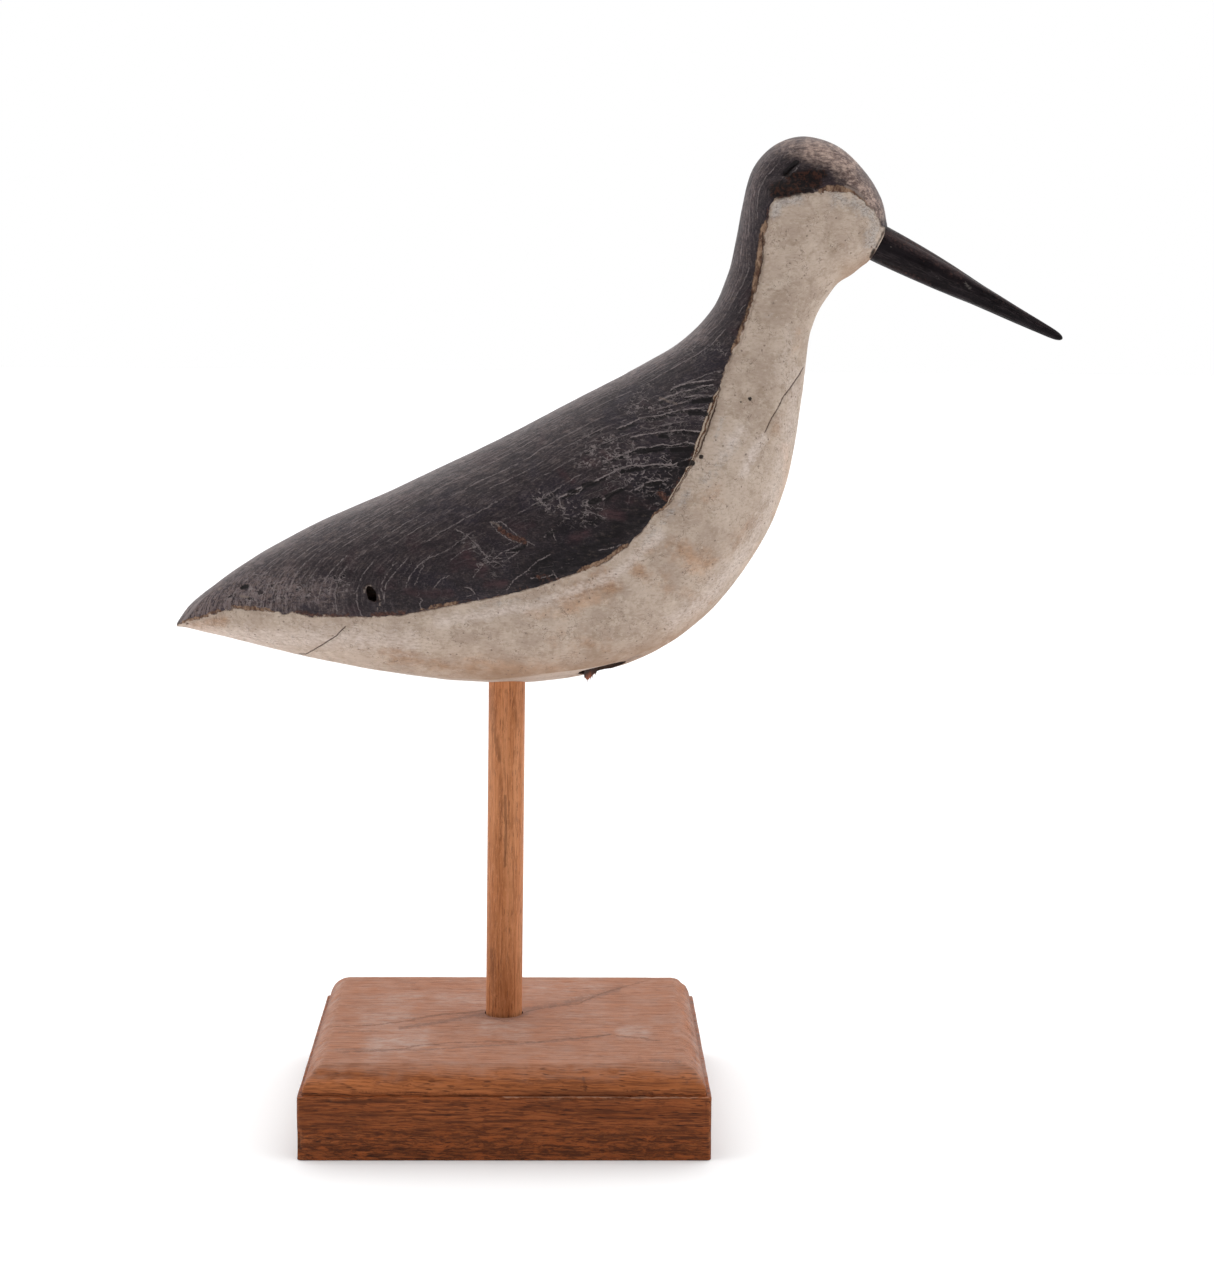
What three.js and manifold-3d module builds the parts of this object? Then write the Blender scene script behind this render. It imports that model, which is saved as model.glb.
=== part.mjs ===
// A carved and painted shorebird on its stand: the carving, its bill, the stub of its old stake,
// a round rod and a moulded wooden base.
// Millimetres, +Z up, and the bird looks along +X. The origin is the middle of the base's underside.

import * as THREE from 'three';
import { mergeVertices } from 'three/addons/utils/BufferGeometryUtils.js';
import Module from 'manifold-3d';

const wasm = await Module();
wasm.setup();

const radians = THREE.MathUtils.degToRad;
const lerp = THREE.MathUtils.lerp;

// Fits
const fit = 0.3; // gap between pieces that touch

// Base: a block with a rounded moulding that rises from a narrow ledge
const baseLength = 136;
const baseDepth = 120;
const baseHeight = 30.9;
const ledgeDrop = 9.4; // from the top down to the ledge
const ledgeWidth = 1.4;
const mouldingWidth = 7.4; // from the ledge in to the flat top
const mouldingSweep = 75; // degrees turned by the rounded face
const mouldingSteps = 7;

// Rod: half-inch dowel, set a little off the middle of the base and leaning forward a little
const rodDiameter = 12.7;
const rodTailward = 1.4; // from the middle of the base
const rodToFarSide = 5.8; // from the middle of the base
const rodLean = 0.4; // degrees
const rodClear = 117.5; // seen length, from the base's top to the belly
const baseSocketFloor = 10.9; // wood left under the rod
const bellySocketDepth = 24;
const roundSides = 32;

// Carving: tail tip to the root of the bill. Its form is in thousandths of this length.
const carvingLength = 240;
const bodyWidth = 66; // at its widest
const sideSteps = 18; // facets from the belly up to the back, on each side
const planedSteps = 3; // of these, the ones below the chine
const stepsBetweenStations = 3;

// Old stake: the hole under the breast and the stub that broke off in it
const stakeHoleDiameter = 16.4;
const stakeHoleDepth = 25;
const stakeFromRod = 32.6;
const stakeToNearSide = 7.4; // so it cuts the belly between its near chine and its lowest line
const stubRecess = 4.8; // broken face above the belly's lowest line
const stubRise = 0.26; // how the broken face climbs with the belly, per millimetre forward
// Its one splinter hangs on the far side: ends and tip along X from the hole's middle, the tip's height, how
// steeply its end climbs behind and ahead of the tip, and how near the hole's middle it reaches, as a share
const splinter = {
  from: -6.4, to: -1.6, tip: -4.9, low: -2.5, climbBehind: 1.5, climbAhead: 0.9, inner: 0.8,
};

// Bill: a whittled spike, as thick as the face at its root, with a thinner tang that sits in the face
const billLength = 71.2;
const faceRim = 0.4; // how far the face stands out round the bill's root
const billTipDiameter = 2.6;
const tangDiameter = 8;
const tangLength = 15;
const billSides = 24;

// Stations from the tail to the face. Places are in thousandths of the carving's length, x and z from the
// point where the rod meets the belly. The rest are shares of the body's half width, and of the way down
// from back to belly. A power of 2 is an ellipse, and more is squarer. The chine has its degrees round from
// the belly's middle, and how flat the wood below it is planed.
const stations = [
  { back: [-469, 88], belly: [-469, 80], width: 0.15, widest: 0.5, top: 2.4, under: 2, chine: [30, 0] },
  { back: [-453, 111], belly: [-456, 77], width: 0.23, widest: 0.5, top: 2.8, under: 2.1, chine: [30, 0] },
  { back: [-421, 137], belly: [-427, 70], width: 0.34, widest: 0.52, top: 2.8, under: 2.1, chine: [30, 0] },
  { back: [-380, 167], belly: [-387, 61], width: 0.46, widest: 0.54, top: 2.6, under: 2.1, chine: [30, 0] },
  { back: [-329, 199], belly: [-331, 48], width: 0.6, widest: 0.55, top: 2.4, under: 2.1, chine: [30, 0] },
  { back: [-262, 234], belly: [-254, 31], width: 0.76, widest: 0.55, top: 2.3, under: 2.1, chine: [30, 0] },
  { back: [-178, 271], belly: [-156, 14], width: 0.91, widest: 0.54, top: 2.2, under: 2.1, chine: [32, 0] },
  { back: [-81, 316], belly: [-47, 1], width: 0.99, widest: 0.53, top: 2.15, under: 2.05, chine: [34, 0.2] },
  { back: [18, 365], belly: [71, 4], width: 1, widest: 0.52, top: 2.1, under: 2.4, chine: [33, 1] },
  { back: [113, 416], belly: [184, 33], width: 0.98, widest: 0.52, top: 2.1, under: 2.4, chine: [27, 1] },
  { back: [189, 456], belly: [279, 93], width: 0.91, widest: 0.52, top: 2.1, under: 2.25, chine: [24, 1] },
  { back: [246, 491], belly: [354, 188], width: 0.78, widest: 0.52, top: 2.1, under: 2, chine: [26, 0.3] },
  { back: [288, 534], belly: [397, 287], width: 0.62, widest: 0.52, top: 2.1, under: 2.05, chine: [30, 0] },
  { back: [310, 584], belly: [416, 405], width: 0.48, widest: 0.52, top: 2.05, under: 2.05, chine: [30, 0] },
  { back: [320, 631], belly: [425, 488], width: 0.41, widest: 0.52, top: 2, under: 2, chine: [30, 0] },
  { back: [328, 677], belly: [430, 511], width: 0.41, widest: 0.5, top: 2, under: 2, chine: [30, 0] },
  { back: [341, 728], belly: [438, 532], width: 0.43, widest: 0.46, top: 2.1, under: 1.95, chine: [30, 0] },
  { back: [370, 762], belly: [452, 554], width: 0.45, widest: 0.44, top: 2.15, under: 1.9, chine: [30, 0] },
  { back: [413, 776], belly: [466, 572], width: 0.45, widest: 0.44, top: 2.15, under: 1.9, chine: [30, 0] },
  { back: [462, 762], belly: [484, 584], width: 0.425, widest: 0.46, top: 2.1, under: 1.95, chine: [30, 0] },
  { back: [501, 726], belly: [496, 594], width: 0.36, widest: 0.48, top: 2, under: 2, chine: [30, 0] },
  { back: [524, 689], belly: [504, 600], width: 0.275, widest: 0.5, top: 2, under: 2, chine: [30, 0] },
  { back: [533, 654], belly: [508, 604], width: 0.2, widest: 0.5, top: 2, under: 2, chine: [30, 0] },
];

// Hollow cut along each side of the crown, over the face
const browHollow = { from: [375, 722], to: [468, 706], reach: 24, depth: 5 };

// Old hole in the near flank, a slanting oval: place and half sizes are in the same thousandths, the turn
// is in degrees, and the floor is a share of the body's half width
const flankHole = { at: [-186, 143], half: [6.6, 12], turn: -22, floor: 0.72 };

// Bill: shares of its length, each with the share of the way from root radius to tip radius
const billTaper = [[0, 0], [0.1, 0.04], [0.27, 0.17], [0.44, 0.38], [0.52, 0.49], [0.7, 0.68], [0.87, 0.86]];
const billPoint = [[0.96, 0.97], [0.985, 1.05], [0.997, 1.12]];

const thousandth = carvingLength / 1000;

// Solids

// A closed body through rings of equally many points, each ring turning right-handed about the way to the
// next, with a fan of faces at both ends.
function skin(rings) {
  const sides = rings[0].length;
  const points = rings.flat();
  const faces = [];
  const corner = (ring, side) => ring * sides + (side % sides);
  for (let ring = 0; ring + 1 < rings.length; ring += 1) {
    for (let side = 0; side < sides; side += 1) {
      const here = corner(ring, side);
      const beside = corner(ring, side + 1);
      const across = corner(ring + 1, side + 1);
      const ahead = corner(ring + 1, side);
      faces.push(here, beside, across, here, across, ahead);
    }
  }
  const last = rings.length - 1;
  for (let side = 1; side + 1 < sides; side += 1) {
    faces.push(corner(0, 0), corner(0, side + 1), corner(0, side));
    faces.push(corner(last, 0), corner(last, side), corner(last, side + 1));
  }
  const geometry = new THREE.BufferGeometry().setFromPoints(points);
  geometry.setIndex(faces);
  return geometry;
}

function solid(geometry) {
  const bare = geometry.clone();
  bare.deleteAttribute('normal');
  bare.deleteAttribute('uv');
  const merged = mergeVertices(bare, 1e-4);
  const vertProperties = new Float32Array(merged.attributes.position.array);
  const triVerts = new Uint32Array(merged.index.array);
  return new wasm.Manifold(new wasm.Mesh({ numProp: 3, vertProperties, triVerts }));
}

function cut(geometry, ...cutters) {
  let body = solid(geometry);
  for (const cutter of cutters) {
    body = body.subtract(solid(cutter));
  }
  const mesh = body.getMesh();
  const result = new THREE.BufferGeometry();
  result.setAttribute('position', new THREE.BufferAttribute(mesh.vertProperties, 3));
  result.setIndex(new THREE.BufferAttribute(mesh.triVerts, 1));
  return result;
}

// An upright round bar from one height to another, about the Z axis
function roundBar(diameter, low, high, sides = roundSides) {
  const bar = new THREE.CylinderGeometry(diameter / 2, diameter / 2, high - low, sides);
  return bar.rotateX(Math.PI / 2).translate(0, 0, (high + low) / 2);
}

function named(name, geometry, { color, roughness }) {
  geometry.computeVertexNormals();
  const material = new THREE.MeshStandardMaterial({ color, roughness, metalness: 0, flatShading: true });
  const mesh = new THREE.Mesh(geometry, material);
  mesh.name = name;
  return mesh;
}

// Places along the rod: the turned frame that it and its two sockets share

const rodFoot = new THREE.Vector3(-rodTailward, rodToFarSide, baseHeight);
const rodTurn = new THREE.Matrix4().makeRotationY(radians(rodLean)).setPosition(rodFoot);
const rodSocketDiameter = rodDiameter + 2 * fit;
const bellySeat = new THREE.Vector3(0, 0, rodClear).applyMatrix4(rodTurn);
const baseSocketDepth = baseHeight - baseSocketFloor;

// A bar about the rod's own axis, with its heights counted from the base's top
function alongRod(diameter, low, high) {
  return roundBar(diameter, low, high).applyMatrix4(rodTurn);
}

// Base

// The rounded face from the flat top down to the ledge, as [inset from the block's side, height]
function mouldingProfile() {
  const width = mouldingWidth;
  const chord = Math.hypot(width, ledgeDrop);
  const tilt = Math.atan2(ledgeDrop, width);
  const halfSweep = radians(mouldingSweep) / 2;
  const radius = chord / 2 / Math.sin(halfSweep);
  const points = [];
  for (let step = mouldingSteps; step >= 0; step -= 1) {
    const along = lerp(-halfSweep, halfSweep, step / mouldingSteps);
    const reach = chord / 2 + radius * Math.sin(along);
    const bulge = radius * (Math.cos(along) - Math.cos(halfSweep));
    const out = reach * Math.cos(tilt) + bulge * Math.sin(tilt);
    const down = reach * Math.sin(tilt) - bulge * Math.cos(tilt);
    points.push([ledgeWidth + width - out, baseHeight - down]);
  }
  return points;
}

function baseGeometry() {
  const ledgeHeight = baseHeight - ledgeDrop;
  const profile = [[0, 0], [0, ledgeHeight], ...mouldingProfile()];
  const rings = profile.map(([inset, height]) => {
    const x = baseLength / 2 - inset;
    const y = baseDepth / 2 - inset;
    return [[x, -y], [x, y], [-x, y], [-x, -y]].map(([a, b]) => new THREE.Vector3(a, b, height));
  });
  return cut(skin(rings), alongRod(rodSocketDiameter, -baseSocketDepth, baseHeight));
}

// Carving

const flat = (pair) => new THREE.Vector3(pair[0] * thousandth, 0, pair[1] * thousandth);
const curve = (points) => new THREE.CatmullRomCurve3(points, false, 'catmullrom', 0.5);
const backCurve = curve(stations.map((s) => flat(s.back)));
const bellyCurve = curve(stations.map((s) => flat(s.belly)));
const breadthCurve = curve(stations.map((s) => new THREE.Vector3(s.width, s.widest, s.chine[1])));
const sectionCurve = curve(stations.map((s) => new THREE.Vector3(s.top, s.under, s.chine[0])));

// A point of the section: how far out to the side, and how far down from back to belly, as a share
function sectionPoint(turn, breadth, section) {
  const power = turn < 90 ? section.y : section.x;
  const side = Math.abs(Math.sin(radians(turn))) ** (2 / power);
  const rise = Math.abs(Math.cos(radians(turn))) ** (2 / power);
  const down = turn < 90 ? lerp(breadth.y, 1, rise) : lerp(breadth.y, 0, rise);
  return [side * breadth.x * bodyWidth / 2, down];
}

// One side of the section, from the middle of the belly up to the back
function halfSection(breadth, section) {
  const chine = section.z;
  const corner = sectionPoint(chine, breadth, section);
  const points = [];
  for (let step = 0; step <= sideSteps; step += 1) {
    const below = step < planedSteps;
    const share = below ? step / planedSteps : (step - planedSteps) / (sideSteps - planedSteps);
    const turn = below ? chine * share : lerp(chine, 180, share);
    const round = sectionPoint(turn, breadth, section);
    if (below) {
      points.push([
        lerp(round[0], corner[0] * share, breadth.z),
        lerp(round[1], lerp(1, corner[1], share), breadth.z),
      ]);
    } else {
      points.push(round);
    }
  }
  points[0][0] = 0;
  points[sideSteps][0] = 0;
  return points;
}

// How deep the hollow over the face is at a place in the side view
function hollowAt(x, z) {
  const from = flat(browHollow.from);
  const to = flat(browHollow.to);
  const here = new THREE.Vector3(x, 0, z);
  const nearest = new THREE.Line3(from, to).closestPointToPoint(here, true, new THREE.Vector3());
  const away = here.distanceTo(nearest) / (browHollow.reach * thousandth);
  return browHollow.depth * thousandth * Math.exp(-2 * away * away);
}

function carvedRing(position) {
  const share = position / (stations.length - 1);
  const back = backCurve.getPoint(share);
  const belly = bellyCurve.getPoint(share);
  const half = halfSection(breadthCurve.getPoint(share), sectionCurve.getPoint(share));
  const place = ([side, down], sign) => {
    const point = back.clone().lerp(belly, down);
    point.y = sign * Math.max(side - Math.min(hollowAt(point.x, point.z), side / 2), 0);
    return point;
  };
  const farSide = half.map((pair) => place(pair, 1));
  const nearSide = half.slice(1, -1).reverse().map((pair) => place(pair, -1));
  return [...farSide, ...nearSide];
}

// Height of the belly above or below the rod's seat, at a distance forward of it
function bellyHeight(x) {
  const samples = bellyCurve.getPoints(60 * stations.length);
  const nearest = samples.reduce((best, p) => (Math.abs(p.x - x) < Math.abs(best.x - x) ? p : best));
  return nearest.z;
}

const stakeMouth = new THREE.Vector3(stakeFromRod, -stakeToNearSide, bellyHeight(stakeFromRod));

function stakeHole() {
  const bar = roundBar(stakeHoleDiameter, -stakeHoleDepth, stakeHoleDepth);
  return bar.translate(stakeMouth.x, stakeMouth.y, stakeMouth.z);
}

function flankHoleCutter() {
  const [halfAcross, halfUp] = flankHole.half.map((share) => share * thousandth);
  const centre = flat(flankHole.at);
  const bar = roundBar(2, flankHole.floor * bodyWidth / 2, bodyWidth / 2 + fit, 12);
  bar.scale(halfAcross, halfUp, 1).rotateX(Math.PI / 2).rotateY(radians(flankHole.turn));
  return bar.translate(centre.x, 0, centre.z);
}

// The bill's own frame: root in the middle of the face and square to it, pointing forward and down
const faceTop = backCurve.getPoint(1);
const faceBottom = bellyCurve.getPoint(1);
const faceMiddle = faceTop.clone().lerp(faceBottom, 0.5);
const faceLean = Math.atan2(faceTop.x - faceBottom.x, faceTop.z - faceBottom.z);
const faceOut = new THREE.Vector3(Math.cos(faceLean), 0, -Math.sin(faceLean));
const billTurn = new THREE.Matrix4().makeRotationY(Math.PI / 2 + faceLean).setPosition(faceMiddle);

function carvingGeometry() {
  const rings = [];
  const count = (stations.length - 1) * stepsBetweenStations;
  for (let ring = 0; ring <= count; ring += 1) {
    rings.push(carvedRing(ring / stepsBetweenStations));
  }
  const rodSocket = alongRod(rodSocketDiameter, 0, rodClear + bellySocketDepth);
  rodSocket.translate(-bellySeat.x, -bellySeat.y, -bellySeat.z);
  const billSocket = roundBar(tangDiameter + 2 * fit, -tangLength - fit, tangLength).applyMatrix4(billTurn);
  return cut(skin(rings), rodSocket, stakeHole(), flankHoleCutter(), billSocket);
}

// Bill: turned about its own axis, root at zero and tip up, then laid into its place
function billGeometry() {
  const root = faceTop.distanceTo(faceBottom) / 2 - faceRim;
  const tip = billTipDiameter / 2;
  const taper = [...billTaper, ...billPoint];
  const outline = [
    new THREE.Vector2(0, -tangLength),
    new THREE.Vector2(tangDiameter / 2, -tangLength),
    new THREE.Vector2(tangDiameter / 2, 0),
    ...taper.map(([along, share]) => new THREE.Vector2(lerp(root, tip, share), along * billLength)),
    new THREE.Vector2(0, billLength),
  ];
  const bill = new THREE.LatheGeometry(outline, billSides).rotateX(Math.PI / 2);
  const gap = faceOut.clone().multiplyScalar(fit);
  return cut(bill.applyMatrix4(billTurn).translate(gap.x, gap.y, gap.z));
}

// Stub of the stake: snapped off inside its hole, with one splinter left hanging
function stubGeometry() {
  const radius = stakeHoleDiameter / 2 - fit;
  const sides = 24;
  const circles = [0.3, 0.6, 0.87, 1];
  const brokenHeight = (x, y) => {
    const ragged = 0.35 * Math.sin(1.3 * x + 0.4) * Math.cos(0.9 * y) + 0.25 * Math.sin(2.1 * y + x);
    const farSide = y > 0 && Math.hypot(x, y) > splinter.inner * radius;
    if (farSide && x > splinter.from && x < splinter.to) {
      const climb = x < splinter.tip ? splinter.climbBehind : splinter.climbAhead;
      return splinter.low + climb * Math.abs(x - splinter.tip);
    }
    return stubRecess + stubRise * x + ragged;
  };
  const ringAt = (share, height) => {
    const points = [];
    for (let side = 0; side < sides; side += 1) {
      const angle = (2 * Math.PI * side) / sides;
      const x = share * radius * Math.cos(angle);
      const y = share * radius * Math.sin(angle);
      points.push(new THREE.Vector3(x, y, height ?? brokenHeight(x, y)));
    }
    return points;
  };
  const rings = circles.map((share) => ringAt(share));
  rings.push(ringAt(1, stakeHoleDepth - fit));
  return cut(skin(rings).translate(stakeMouth.x, stakeMouth.y, stakeMouth.z));
}

// Assembly

const bird = new THREE.Group();
bird.position.copy(bellySeat);
bird.add(named('carved_bird', carvingGeometry(), { color: '#4a4442', roughness: 0.6 }));
bird.add(named('bill', billGeometry(), { color: '#2e2724', roughness: 0.45 }));
bird.add(named('old_stake_stub', stubGeometry(), { color: '#8a4a2c', roughness: 0.8 }));

const rodLow = fit - baseSocketDepth;
const rodHigh = rodClear + bellySocketDepth - fit;

const model = new THREE.Group();
model.add(named('base', baseGeometry(), { color: '#8a4a2a', roughness: 0.6 }));
model.add(named('rod', alongRod(rodDiameter, rodLow, rodHigh), { color: '#b4764c', roughness: 0.55 }));
model.add(bird);

export default model;
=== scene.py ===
import math
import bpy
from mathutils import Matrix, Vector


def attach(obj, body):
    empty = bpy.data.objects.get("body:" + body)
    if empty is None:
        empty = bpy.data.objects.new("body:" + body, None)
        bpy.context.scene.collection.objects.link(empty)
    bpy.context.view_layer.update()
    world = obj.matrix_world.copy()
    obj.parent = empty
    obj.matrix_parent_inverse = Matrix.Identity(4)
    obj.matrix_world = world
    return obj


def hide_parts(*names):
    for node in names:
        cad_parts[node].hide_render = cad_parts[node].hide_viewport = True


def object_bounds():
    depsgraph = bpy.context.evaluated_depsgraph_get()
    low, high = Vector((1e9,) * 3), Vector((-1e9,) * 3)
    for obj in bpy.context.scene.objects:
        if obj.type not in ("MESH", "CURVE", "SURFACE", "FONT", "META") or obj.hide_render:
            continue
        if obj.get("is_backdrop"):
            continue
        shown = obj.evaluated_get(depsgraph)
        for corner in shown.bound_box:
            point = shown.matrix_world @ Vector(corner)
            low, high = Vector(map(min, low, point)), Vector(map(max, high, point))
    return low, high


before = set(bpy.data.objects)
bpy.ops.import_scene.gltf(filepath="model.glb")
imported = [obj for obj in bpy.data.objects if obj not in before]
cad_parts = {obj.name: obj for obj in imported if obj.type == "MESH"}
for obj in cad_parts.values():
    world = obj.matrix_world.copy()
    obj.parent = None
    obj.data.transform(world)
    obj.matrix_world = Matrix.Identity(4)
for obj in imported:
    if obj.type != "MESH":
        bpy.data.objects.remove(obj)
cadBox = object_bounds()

from types import SimpleNamespace

import bmesh
import bpy
import numpy as np
from mathutils import Matrix, Vector

scene = bpy.context.scene
metresPerMm = 0.001

# Places that more than one piece needs, in millimetres. The origin is the middle of the base's underside.
stand = {
    "baseHeight": 30.9,
    "rodFoot": (-1.4, 5.8),
    "rodLean": 0.4,  # degrees forward
    "rodClear": 117.5,  # from the base's top to the belly
    "rodDiameter": 12.7,
    "baseSocketDepth": 20.0,
    "bellySocketDepth": 24.0,
    "fit": 0.3,
}
rodFoot = Vector((*stand["rodFoot"], stand["baseHeight"]))
rodTurn = Matrix.Translation(rodFoot) @ Matrix.Rotation(math.radians(stand["rodLean"]), 4, "Y")
birdSeat = np.array(rodTurn @ Vector((0, 0, stand["rodClear"])))

# Camera, from the photograph: its place in millimetres, its turns in degrees
camera = {
    "place": (14.57, -880.56, 292.99),
    "turnRight": 1.2457,
    "tiltDown": 8.3189,
    "roll": 0.4355,
    "focalPixels": 2600.0,
    "imageWidth": 1214.0,
    "imageHeight": 1280.0,
    "sensor": 36.0,
}


def cameraAxes():
    turn, tilt, roll = (math.radians(camera[key]) for key in ("turnRight", "tiltDown", "roll"))
    right = np.array([math.cos(turn), -math.sin(turn), 0])
    level = np.array([math.sin(turn), math.cos(turn), 0])
    up = np.array([0, 0, 1.0])
    ahead = level * math.cos(tilt) - up * math.sin(tilt)
    over = level * math.sin(tilt) + up * math.cos(tilt)
    rolledRight = right * math.cos(roll) + over * math.sin(roll)
    return rolledRight, over * math.cos(roll) - right * math.sin(roll), ahead


def photoPlace(points):
    # where points in millimetres lie in the photograph, in its pixels
    right, over, ahead = cameraAxes()
    away = points - np.array(camera["place"])
    scale = camera["focalPixels"] / (away @ ahead)
    across = camera["imageWidth"] / 2 + scale * (away @ right)
    down = camera["imageHeight"] / 2 - scale * (away @ over)
    return np.stack([across, down], axis=-1)


def makeCamera():
    data = bpy.data.cameras.new("photoCamera")
    data.sensor_width = camera["sensor"]
    data.lens = camera["sensor"] * camera["focalPixels"] / camera["imageHeight"]
    data.clip_start, data.clip_end = 0.05, 60
    made = bpy.data.objects.new("photoCamera", data)
    right, over, ahead = cameraAxes()
    turned = Matrix(np.stack([right, over, -ahead], axis=1).tolist()).to_4x4()
    made.matrix_world = Matrix.Translation(Vector(camera["place"]) * metresPerMm) @ turned
    scene.collection.objects.link(made)
    scene.camera = made


makeCamera()
print("camera placed")

# Mesh helpers


def softNoise(points, size, seed):
    # smooth random values from -1 to 1 that change over about this distance
    cells = 32
    grid = np.random.default_rng(seed).uniform(-1, 1, (cells,) * 3)
    place = points / np.asarray(size, float)
    cell = np.floor(place).astype(int)
    part = place - cell
    part = part * part * (3 - 2 * part)
    total = np.zeros(len(points))
    for corner in np.ndindex(2, 2, 2):
        weight = np.prod(np.where(np.array(corner) == 1, part, 1 - part), axis=1)
        index = (cell + corner) % cells
        total += weight * grid[index[:, 0], index[:, 1], index[:, 2]]
    return total


def ease(values, low, high):
    part = np.clip((values - low) / (high - low), 0, 1)
    return part * part * (3 - 2 * part)


def fromPath(places, path):
    # distance of each place from a line through the path's points
    path = np.asarray(path, float)
    if len(path) == 1:
        return np.linalg.norm(places - path[0], axis=1)
    best = np.full(len(places), np.inf)
    for start, end in zip(path, path[1:]):
        way = end - start
        share = np.clip((places - start) @ way / (way @ way), 0, 1)
        best = np.minimum(best, np.linalg.norm(places - start - share[:, None] * way, axis=1))
    return best


def isInside(places, path):
    path = np.asarray(path, float)
    inside = np.zeros(len(places), bool)
    for start, end in zip(path, np.roll(path, -1, axis=0)):
        crosses = (start[1] > places[:, 1]) != (end[1] > places[:, 1])
        drop = end[1] - start[1] if end[1] != start[1] else 1.0
        reach = start[0] + (places[:, 1] - start[1]) * (end[0] - start[0]) / drop
        inside ^= crosses & (places[:, 0] < reach)
    return inside


def strokes(places, marks):
    # strongest of several soft strokes, each a path, a half width and a strength
    total = np.zeros(len(places))
    for path, halfWidth, strength in marks:
        total = np.maximum(total, strength * np.clip(1 - fromPath(places, path) / halfWidth, 0, 1))
    return total


def ringFaces(rings, sides):
    corner = np.arange(rings * sides).reshape(rings, sides)
    beside = np.roll(corner, -1, axis=1)
    faces = np.stack([corner[:-1], beside[:-1], beside[1:], corner[1:]], axis=-1)
    return faces.reshape(-1, 4).tolist()


def makePiece(name, points, faces):
    mesh = bpy.data.meshes.new(name)
    mesh.from_pydata((np.asarray(points) * metresPerMm).tolist(), [], faces)
    work = bmesh.new()
    work.from_mesh(mesh)
    bmesh.ops.recalc_face_normals(work, faces=work.faces)
    work.to_mesh(mesh)
    work.free()
    piece = bpy.data.objects.new(name, mesh)
    scene.collection.objects.link(piece)
    return piece


def pointsOf(piece):
    flat = np.zeros(len(piece.data.vertices) * 3, np.float32)
    piece.data.vertices.foreach_get("co", flat)
    return flat.reshape(-1, 3).astype(float) / metresPerMm


def movePoints(piece, points):
    piece.data.vertices.foreach_set("co", (points * metresPerMm).astype(np.float32).ravel())
    piece.data.update()


def normalsOf(piece):
    flat = np.zeros(len(piece.data.vertices) * 3, np.float32)
    piece.data.vertex_normals.foreach_get("vector", flat)
    return flat.reshape(-1, 3).astype(float)


def addField(piece, name, values):
    field = piece.data.attributes.new(name, "FLOAT", "POINT")
    field.data.foreach_set("value", values.astype(np.float32))


def smoothShade(piece, sharpOver=50):
    piece.data.polygons.foreach_set("use_smooth", [True] * len(piece.data.polygons))
    piece.data.set_sharp_from_angle(angle=math.radians(sharpOver))


def roundCutter(name, turn, radii, low, high, sides=72, ragged=0.0):
    # a bar about its own Z axis, with a slightly uneven outline, put in place by a matrix
    angles = np.linspace(0, 2 * np.pi, sides, endpoint=False)
    circle = np.stack([np.cos(angles), np.sin(angles), np.zeros(sides)], axis=-1)
    uneven = 1 + ragged * softNoise(circle, 0.45, 7)
    rings = []
    for height in (low, high):
        ring = circle * uneven[:, None] * [radii[0], radii[1], 0]
        ring[:, 2] = height
        rings.append(ring)
    points = np.concatenate(rings)
    points = np.array([turn @ Vector(point) for point in points])
    faces = ringFaces(2, sides) + [list(range(sides))] + [list(range(sides, 2 * sides))]
    return makePiece(name, points, faces)


def settle(piece):
    # turns a piece with modifiers into a plain mesh
    graph = bpy.context.evaluated_depsgraph_get()
    mesh = bpy.data.meshes.new_from_object(piece.evaluated_get(graph), depsgraph=graph)
    piece.modifiers.clear()
    piece.data = mesh


def cutFrom(piece, cutters):
    for cutter in cutters:
        cut = piece.modifiers.new(cutter.name, "BOOLEAN")
        cut.object = cutter
        cut.solver = "EXACT"
        cut.material_mode = "TRANSFER"
    settle(piece)
    for cutter in cutters:
        bpy.data.objects.remove(cutter)


def finishPiece(piece, node, slot):
    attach(piece, "root")
    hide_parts(node)
    triangles = sum(len(face.vertices) - 2 for face in piece.data.polygons)
    print(f"{piece.name} made, {triangles} triangles")


# Shader helpers

lightShare = 0.96  # light that an upright surface sends back, against the photograph's white


def tint(red, green, blue, gain=1.0):
    # a colour as it looks in the photograph, turned into the paint's own colour
    linear = [((value / 255 + 0.055) / 1.055) ** 2.4 for value in (red, green, blue)]
    return (*(min(value * gain / lightShare, 0.9) for value in linear), 1.0)


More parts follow.
